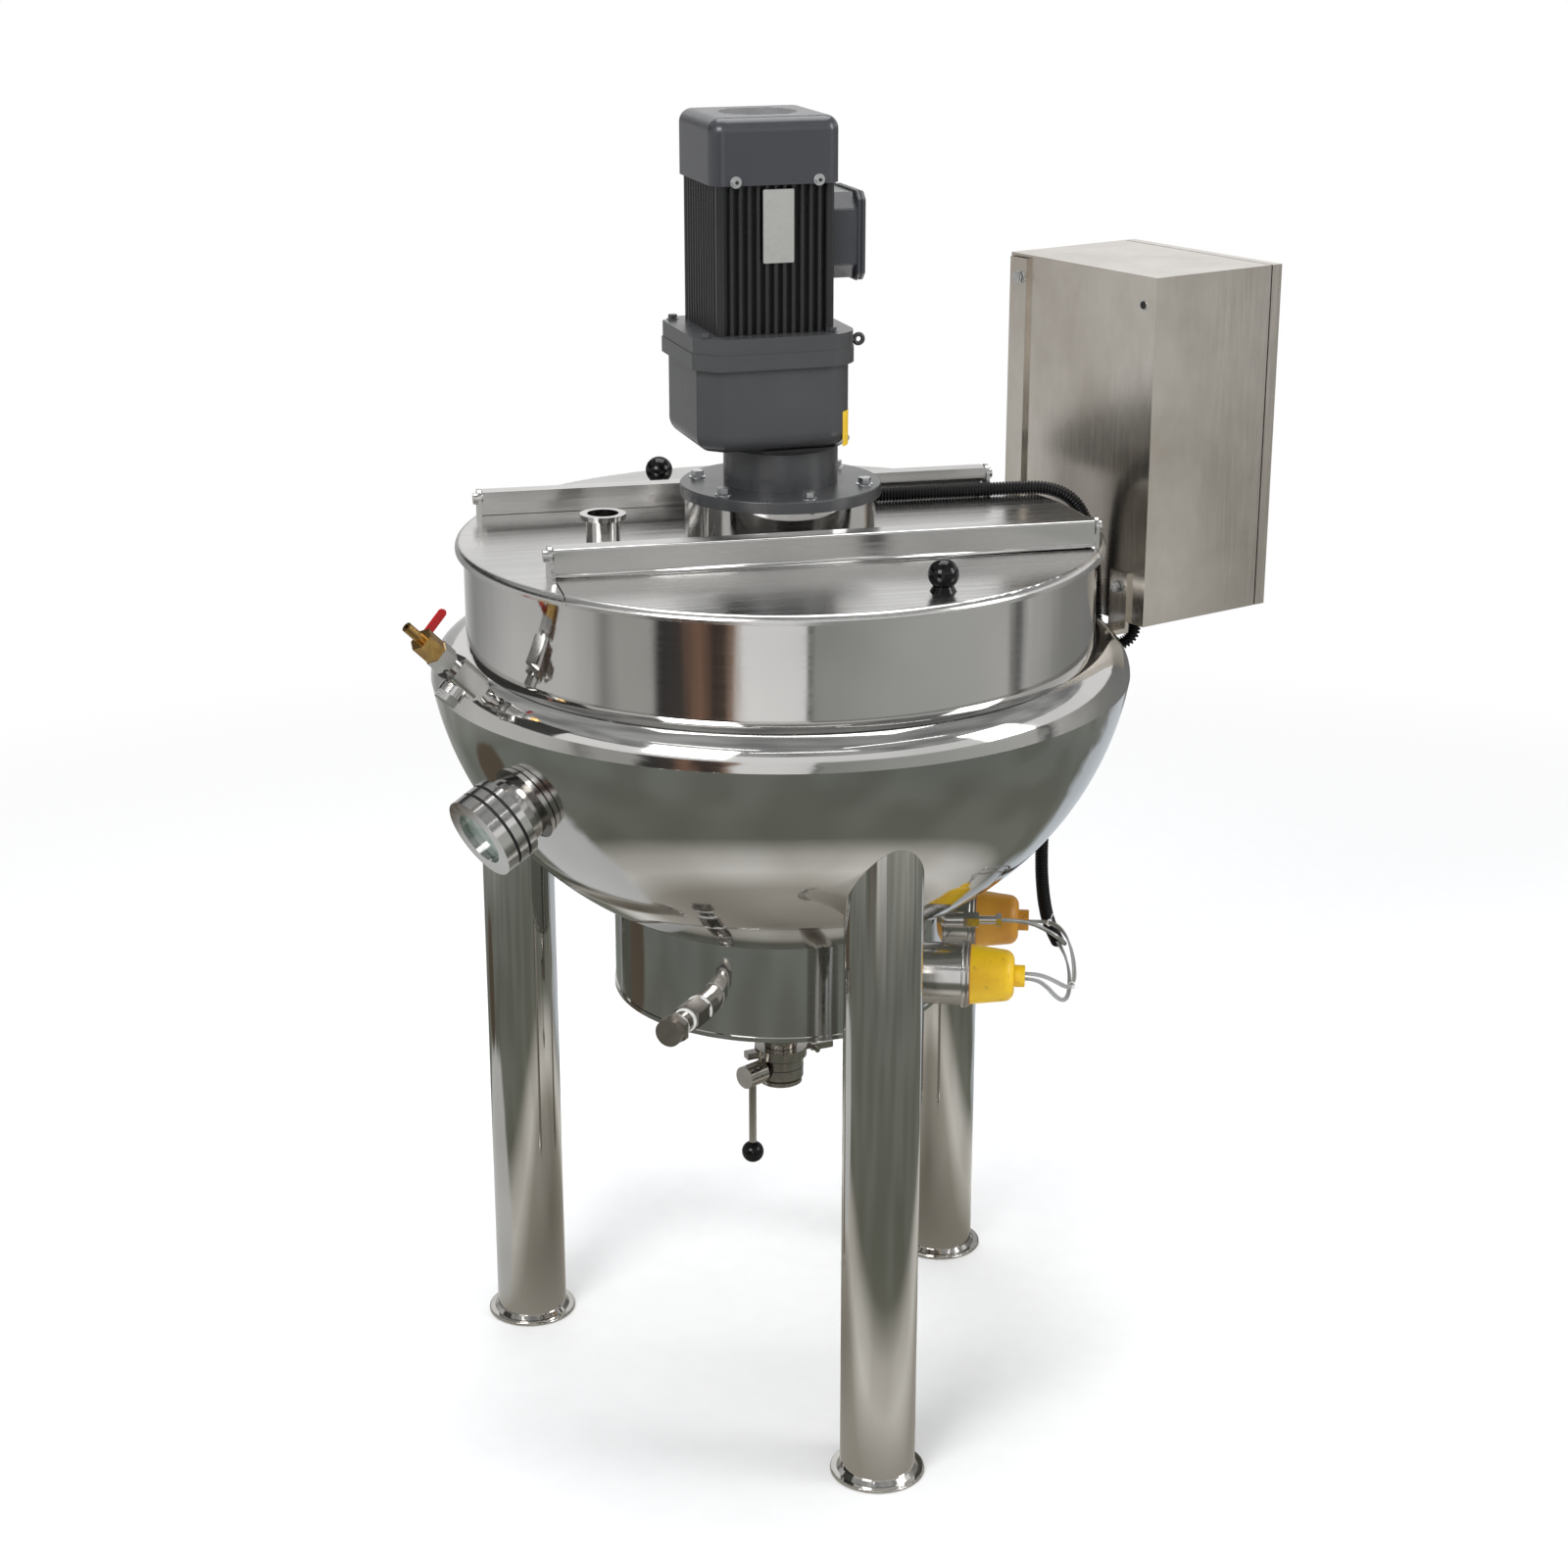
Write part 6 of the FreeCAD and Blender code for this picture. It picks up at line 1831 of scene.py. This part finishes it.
@dataclass
class Cabinet:
    """Control cabinet on its brackets.

    Args:
        angle: Bearing of the cabinet, in degrees.
        reach: Distance of its back from the kettle's axis, in millimetres.
        bottom: Height of its underside, in millimetres.
        width: Its width, in millimetres.
        depth: Depth of its shell, in millimetres.
        height: Its height, in millimetres.
        bolts: Places of the bracket bolts on its back, in millimetres.
        hole: Place of the hole in its back, darkened by a disc of painted shade, in
            millimetres.
        seal_depths: The seal's back and front behind the door, in millimetres.
        seal_insets: The seal's outer and inner edge from the shell's, in millimetres.
    """

    angle: float = 22.0
    reach: float = 428.0
    bottom: float = 857.0
    width: float = 258.0
    depth: float = 178.0
    height: float = 408.0
    bolts: tuple[Triple, ...] = ((-5.0, 107.0, 381.0), (-5.0, -89.0, 42.0))
    hole: Triple = (0.0, -108.0, 375.0)
    seal_depths: Span = (0.1, 1.8)
    seal_insets: Span = (1.0, 11.0)

    def spot(self, x: float, y: float, z: float) -> Vector:
        """A point given in the cabinet's own millimetres, from the middle of its back."""
        turned = Matrix.Rotation(math.radians(self.angle), 3, "Z")
        return place(*(turned @ Vector((self.reach + x, y, self.bottom + z))))

    def seal(self, material: bpy.types.Material) -> bpy.types.Object:
        """The dark rubber seal in the gap behind the door, which also stands in for the
        shade in the gap: partly painted shade.

        Args:
            material: Its finish.

        Returns:
            The piece.
        """
        shape = bmesh.new()
        loops = []
        for x in self.seal_depths:
            for inset in self.seal_insets:
                half = self.width / 2 - inset
                loops.append(corners(shape, [self.spot(self.depth + x, y, z) for y, z in (
                    (-half, inset), (half, inset), (half, self.height - inset),
                    (-half, self.height - inset))]))
        back_out, back_in, front_out, front_in = loops
        for first, second in ((back_out, front_out), (front_out, front_in),
                              (front_in, back_in), (back_in, back_out)):
            wall(shape, first, second)
        return shape_piece("door_seal_and_gap_shade", shape, material, Body.FRAME, Slot.GASKET)

    def build(self, finishes: Finishes) -> None:
        """Dresses the cabinet's nodes and adds its bolts, its seal and the painted shade in
        its hole.

        Args:
            finishes: The kettle's finishes.
        """
        dress(finishes.cabinet, "cabinet_shell", "cabinet_door", "cabinet_panel",
              "cabinet_brackets")
        dress(finishes.hose, "conduit_glands")
        bolts = [self.spot(*bolt) for bolt in self.bolts]
        hole = [self.spot(*self.hole)]
        for name, spots, sizes, finish, slot in (
                ("bracket_bolts", bolts, (6.4, 5.0, 8.0), finishes.zinc, Slot.STEEL),
                ("hole_collar", hole, (5.6, 0.3, 5.6, 24, 0.2), finishes.zinc,
                 Slot.CABINET),
                # A dark disc in the open hole: painted shade of the hole.
                ("cabinet_hole_shade", hole, (4.5, 0.5, 4.5, 24, 0.4), finishes.recess_shade, Slot.KNOB)):
            back = [-outward(self.angle)] * len(spots)
            Screws(name, spots, back, *sizes).build(finish, slot)
        # A rubber seal in the door's gap, made dark as painted shade of the gap as well.
        self.seal(finishes.gasket)


def disc(name: str, radius: float, centre: Vector, segments: int = 96) -> bpy.types.Mesh:
    """A flat, round, level sheet.

    Args:
        name: Name of the mesh.
        radius: Its radius, in metres.
        centre: Its middle, in the frame, in metres.
        segments: Facets round it.

    Returns:
        The mesh.
    """
    shape = bmesh.new()
    bmesh.ops.create_circle(shape, cap_ends=True, segments=segments, radius=radius)
    bmesh.ops.translate(shape, vec=centre, verts=shape.verts)
    return shape_mesh(name, shape)


@dataclass
class Studio:
    """Floor, light and camera. Lengths are in metres, unless told otherwise.

    Args:
        azimuth: Camera's bearing in degrees, 0 looking along +Y.
        elevation: Camera's height angle in degrees.
        distance: Camera's distance from its target, in millimetres.
        aim: Sideways and upright place of the target, in millimetres.
        lens: Focal length on the sensor.
        sensor: Width of the sensor, in millimetres.
        clip: Furthest that the camera sees.
        floor_radius: Radius of the floor.
        floor_drop: How far the floor lies under the feet.
        floor_lift: How far the mirrored floor lies over them.
        floor_fade: Distances between which the floor fades to white.
        sky: Colour and strength of the soft light from all round.
        lamps: Name, place from the kettle's axis, size and watts of each soft lamp.
        lamp_aim: Height that the lamps point at.
        tubes: Places of the tube lamps.
        tube_size: Length and width of a tube.
        tube_power: Watts of a tube, and the brightness of its card in mirrors.
        card_dim: Share of that brightness at a card's dimmest places.
        ring_radius: Radius of the ring of cloths and of the mirrored floor.
        ring_height: Height of the ring.
        bands: Bearing in degrees and colour of each band of the ring.
        sway: How far the bands wander, as a share of the whole turn.
        ground: Distance and colour of each zone of the mirrored floor.
        ground_blend: Distance where the floor starts to turn into the ring.
        patches: Place, reach and colour of each patch on the mirrored floor.
        ragged: How far a patch's edge wanders, as a share of its reach.
        dark_radius: Distance of the dark cloth.
        dark_arc: Bearings of its two ends, in degrees.
        dark_heights: Heights of its lower and upper edge.
        ceiling_radius: Radius of the mirrored ceiling.
        ceiling_height: Its height.
    """

    azimuth: float = -12.95
    elevation: float = 18.61
    distance: float = 3251.3
    aim: Span = (3.9, 710.1)
    lens: float = 65.27
    sensor: float = 36.0
    clip: float = 200.0
    floor_radius: float = 40.0
    floor_drop: float = 0.0005
    floor_lift: float = 0.0008
    floor_fade: Span = (1.1, 3.0)
    sky: tuple[Colour, float] = ((0.95, 0.97, 1.0), 0.55)
    lamps: tuple[tuple[str, Triple, Span, float], ...] = (
        ("key", (-2.4, -2.6, 3.0), (1.8, 1.8), 95.0),
        ("fill", (3.0, -1.6, 2.2), (1.2, 2.2), 45.0),
        ("top", (0.2, 0.6, 3.4), (2.2, 2.2), 60.0))
    lamp_aim: float = 0.75
    tubes: tuple[Triple, ...] = (
        (-1.3, -1.5, 2.9), (-0.2, -2.3, 2.7), (1.0, -1.7, 3.0), (0.4, 1.4, 3.0))
    tube_size: Span = (1.5, 0.05)
    tube_power: Span = (7.0, 5.0)
    card_dim: float = 0.8
    ring_radius: float = 2.8
    ring_height: float = 1.45
    bands: tuple[tuple[float, Colour], ...] = (
        (-180.0, (0.66, 0.66, 0.65)), (-170.0, (0.55, 0.55, 0.54)),
        (-164.0, (0.27, 0.27, 0.26)), (-158.0, (0.44, 0.44, 0.42)),
        (-147.0, (0.44, 0.44, 0.42)), (-144.0, (0.05, 0.05, 0.05)),
        (-135.0, (0.07, 0.06, 0.055)), (-131.0, (0.27, 0.16, 0.11)),
        (-126.0, (0.06, 0.045, 0.04)), (-121.0, (0.08, 0.06, 0.05)),
        (-118.0, (0.34, 0.23, 0.17)), (-115.0, (1.0, 1.0, 1.0)),
        (-94.0, (0.92, 0.92, 0.92)),
        (-92.5, (0.10, 0.10, 0.10)), (-90.0, (0.36, 0.37, 0.35)),
        (-60.0, (0.52, 0.53, 0.51)), (-20.0, (0.60, 0.60, 0.58)),
        (-15.0, (0.13, 0.13, 0.13)), (-10.0, (0.60, 0.60, 0.58)),
        (14.0, (0.30, 0.30, 0.29)), (60.0, (0.14, 0.14, 0.14)), (80.0, (0.85, 0.85, 0.85)),
        (118.0, (0.34, 0.34, 0.34)), (150.0, (0.66, 0.66, 0.65)),
        (180.0, (0.66, 0.66, 0.65)))
    sway: float = 0.011
    ground: tuple[tuple[float, Colour], ...] = (
        (0.0, (0.24, 0.22, 0.19)), (0.36, (0.42, 0.40, 0.36)), (0.50, (0.80, 0.79, 0.76)),
        (0.62, (0.66, 0.65, 0.62)), (0.76, (0.20, 0.21, 0.18)), (1.6, (0.20, 0.215, 0.195)),
        (2.8, (0.30, 0.31, 0.29)))
    ground_blend: float = 1.7
    patches: tuple[tuple[Span, Span, Colour], ...] = (
        ((0.92, 1.42), (1.22, 1.22), (0.60, 0.64, 0.68)),
        ((-0.70, 0.40), (0.50, 0.50), (0.66, 0.67, 0.67)),
        ((-1.16, 0.82), (0.36, 0.36), (0.12, 0.095, 0.07)))
    ragged: float = 0.13
    dark_radius: float = 3.4
    dark_arc: Span = (108.0, 184.0)
    dark_heights: Span = (1.2, 3.0)
    ceiling_radius: float = 5.0
    ceiling_height: float = 3.6

    def camera(self) -> None:
        """Sets the camera at the photograph's place."""
        turn, rise = math.radians(self.azimuth), math.radians(self.elevation)
        target = place(self.aim[0] * math.cos(turn), self.aim[0] * math.sin(turn),
                       self.aim[1])
        back = Vector((math.sin(turn) * math.cos(rise), -math.cos(turn) * math.cos(rise),
                       math.sin(rise)))
        data = bpy.data.cameras.new("camera")
        data.lens = self.lens
        data.sensor_width = self.sensor
        data.clip_end = self.clip
        camera = bpy.data.objects.new("camera", data)
        bpy.context.scene.collection.objects.link(camera)
        camera.location = target + back * self.distance * MM
        camera.rotation_euler = back.to_track_quat("Z", "Y").to_euler()
        bpy.context.scene.camera = camera

    def sees_background(self, tree: NodeTree) -> Socket:
        """1 for rays of the camera, of mirrors and of glass, and otherwise 0.

        Args:
            tree: Tree that asks.

        Returns:
            The value socket.
        """
        path = tree.node("ShaderNodeLightPath").outputs
        seen = tree.math("MAXIMUM", path["Is Camera Ray"], path["Is Glossy Ray"])
        return tree.math("MAXIMUM", seen, path["Is Transmission Ray"])

    def world(self) -> None:
        """White background and soft light from all round."""
        world = bpy.data.worlds.new("studio")
        world.use_nodes = True
        world.node_tree.nodes.clear()
        tree = NodeTree(world.node_tree)
        colour, strength = self.sky
        light = tree.node("ShaderNodeBackground", Color=(*colour, 1.0), Strength=strength)
        white = tree.node("ShaderNodeBackground", Color=(*WHITE, 1.0), Strength=1.0)
        tree.node("ShaderNodeOutputWorld",
                  Surface=tree.blend(self.sees_background(tree), light, white))
        bpy.context.scene.world = world

    def distance_from(self, shader: Shader, spot: Socket) -> Socket:
        """Distance of a point from the origin of its coordinates."""
        return shader.node("ShaderNodeVectorMath", operation="LENGTH",
                           Vector=spot).outputs["Value"]

    def floor(self) -> None:
        """A wide pale floor that fades to white away from the kettle."""
        mesh = disc("floor", self.floor_radius, -UP * self.floor_drop)
        shader = Shader("floor")
        grain = shader.noise((30.0, 30.0, 30.0), 2.0)
        matte = shader.node("ShaderNodeBsdfDiffuse",
                            Color=shader.mix(grain, (0.90, 0.90, 0.90), (0.86, 0.86, 0.86)))
        glow = shader.node("ShaderNodeEmission", Color=(*WHITE, 1.0), Strength=1.0)
        fade = shader.span(self.distance_from(shader, shader.own), 0.0, 1.0,
                           *self.floor_fade)
        white = shader.math("MULTIPLY", fade, self.sees_background(shader))
        shader.feed(shader.output, shader.blend(white, matte, glow))
        mesh_object("floor", mesh, shader.material)

    def lamp(self, name: str, spot: Triple, size: Span, power: float) -> bpy.types.Object:
        """Adds a soft lamp that points at the kettle's middle.

        Args:
            name: Name of the lamp.
            spot: Its place, in metres from the kettle's axis.
            size: Width and height, in metres.
            power: Its power in watts.

        Returns:
            The lamp.
        """
        data = bpy.data.lights.new(name, "AREA")
        data.shape = "RECTANGLE"
        data.size, data.size_y = size
        data.energy = power
        made = bpy.data.objects.new(name, data)
        bpy.context.scene.collection.objects.link(made)
        made.location = AXIS + Vector(spot)
        way = made.location - (AXIS + UP * self.lamp_aim)
        made.rotation_euler = way.to_track_quat("Z", "Y").to_euler()
        return made

    def card(self, lamp: bpy.types.Object, size: Span, bright: float) -> None:
        """Hides a lamp from mirrors and shows them a soft card in its place.

        Args:
            lamp: The lamp.
            size: Width and height of the card, in metres.
            bright: Brightness of the card.
        """
        lamp.visible_glossy = False
        turn = lamp.rotation_euler.to_matrix()
        name = lamp.name + "_card"
        mesh = bpy.data.meshes.new(name)
        ends = [lamp.location + turn @ Vector((x * size[0] / 2, y * size[1] / 2, 0.0))
                for x, y in ((-1, -1), (1, -1), (1, 1), (-1, 1))]
        mesh.from_pydata([tuple(end) for end in ends], [], [(0, 1, 2, 3)])
        shader = Shader(name)
        dim = self.card_dim * bright
        self.cloth(name, mesh, shader, shader.mix(
            shader.noise((3.0, 3.0, 3.0), 1.0), (bright, bright, bright), (dim, dim, dim)))

    def cloth(self, name: str, mesh: bpy.types.Mesh, shader: Shader,
              colour: Socket) -> None:
        """Makes one studio cloth that only mirrors see.

        Args:
            name: Name of the cloth.
            mesh: Its form.
            shader: Its shader.
            colour: Its colour.
        """
        glow = shader.node("ShaderNodeEmission", Color=colour, Strength=1.0)
        shader.feed(shader.output, glow.outputs[0])
        made = mesh_object(name, mesh, shader.material)
        made.visible_camera = False
        made.visible_diffuse = False
        made.visible_shadow = False
        made.visible_transmission = False

    def banding(self, shader: Shader) -> Socket:
        """Colour of the studio cloths by their bearing from the kettle.

        Args:
            shader: Shader of the cloth.

        Returns:
            The colour socket.
        """
        angle = shader.node("ShaderNodeTexGradient", gradient_type="RADIAL",
                            Vector=shader.mapped(Location=tuple(-AXIS)))
        shift = shader.span(shader.noise((2.4, 2.4, 1.1), 4.0, 0.6), -self.sway, self.sway,
                            0.2, 0.8)
        return shader.ramp(shader.math("ADD", angle.outputs["Fac"], shift),
                           [((degrees + 180) / 360, colour)
                            for degrees, colour in self.bands])

    def ring(self) -> None:
        """A ring of cloths round the kettle, for the polish to show."""
        shape = bmesh.new()
        bmesh.ops.create_cone(shape, cap_ends=False, segments=96, radius1=self.ring_radius,
                              radius2=self.ring_radius, depth=self.ring_height)
        bmesh.ops.translate(shape, vec=AXIS + UP * (self.ring_height / 2),
                            verts=shape.verts)
        mesh = shape_mesh("mirror_ring", shape)
        shader = Shader("mirror_ring")
        self.cloth("mirror_ring", mesh, shader, self.banding(shader))

    def mirrored_floor(self) -> None:
        """A darker floor that only mirrors see, with a few ragged patches."""
        shader = Shader("mirror_floor")
        reach = self.distance_from(shader, shader.mapped(Location=tuple(-AXIS)))
        ground = shader.ramp(shader.span(reach, 0.0, 1.0, 0.0, self.ring_radius),
                             [(distance / self.ring_radius, colour)
                              for distance, colour in self.ground])
        outer = shader.span(reach, 0.0, 1.0, self.ground_blend, self.ring_radius)
        cloud = shader.span(shader.noise((2.2, 2.2, 2.2), 0.5, 0.4), 0.0, 1.0, 0.40, 0.60)
        light = shader.mix(1.0, shader.mix(outer, ground, self.banding(shader)),
                           shader.mix(cloud, (0.87, 0.86, 0.83), (1.06, 1.06, 1.05)),
                           "MULTIPLY")
        wander = shader.span(shader.noise((1.8, 1.8, 1.8), 3.0, 0.55), -self.ragged,
                             self.ragged)
        for spot, size, colour in self.patches:
            where = shader.mapped(vector_type="TEXTURE", Scale=(*size, 1.0),
                                  Location=tuple(AXIS + Vector((*spot, 0.0))))
            ball = shader.node("ShaderNodeTexGradient", gradient_type="SPHERICAL",
                               Vector=where)
            edge = shader.math("ADD", ball.outputs["Fac"], wander)
            light = shader.mix(shader.span(edge, 0.0, 1.0, 0.14, 0.30), light, colour)
        mesh = disc("mirror_floor", self.ring_radius, AXIS + UP * self.floor_lift)
        self.cloth("mirror_floor", mesh, shader, light)

    def dark_cloth(self) -> None:
        """A dark upright cloth that darkens the cabinet's back and what it mirrors."""
        steps = 8
        start, end = self.dark_arc
        ways = [outward(start + (end - start) * step / steps) for step in range(steps + 1)]
        spots = [tuple(AXIS + way * self.dark_radius + UP * height)
                 for way in ways for height in self.dark_heights]
        faces = [(2 * step, 2 * step + 2, 2 * step + 3, 2 * step + 1)
                 for step in range(steps)]
        mesh = bpy.data.meshes.new("mirror_high")
        mesh.from_pydata(spots, [], faces)
        shader = Shader("mirror_high")
        self.cloth("mirror_high", mesh, shader, shader.mix(
            shader.noise((1.5, 1.5, 1.5), 1.0), (0.04, 0.04, 0.04), (0.09, 0.09, 0.085)))

    def ceiling(self) -> None:
        """A grey ceiling that only mirrors see, so that lamps stand out in the steel."""
        mesh = disc("mirror_ceiling", self.ceiling_radius, AXIS + UP * self.ceiling_height,
                    64)
        shader = Shader("mirror_ceiling")
        cloud = shader.span(shader.noise((0.8, 0.8, 0.8), 2.0), 0.0, 1.0, 0.35, 0.65)
        self.cloth("mirror_ceiling", mesh, shader, shader.mix(
            cloud, (0.26, 0.265, 0.27), (0.52, 0.525, 0.52)))

    def build(self) -> None:
        """Sets up the whole studio."""
        self.camera()
        self.world()
        self.floor()
        for lamp in self.lamps:
            self.lamp(*lamp)
        power, bright = self.tube_power
        for number, spot in enumerate(self.tubes):
            tube = self.lamp(f"tube_{number}", spot, self.tube_size, power)
            self.card(tube, self.tube_size, bright)
        self.ring()
        self.mirrored_floor()
        self.dark_cloth()
        self.ceiling()
        bpy.context.scene.view_settings.view_transform = "Standard"


def main() -> None:
    """Builds the studio and dresses the kettle, sub-assembly by sub-assembly."""
    finishes = Finishes()
    Studio().build()
    Cords().build(finishes)
    for assembly in (Vessel(), Lid(), Drive(), Fittings(), Cabinet()):
        assembly.build(finishes)
        LOG.info("finished %s", type(assembly).__name__)


if __name__ == "__main__":
    main()
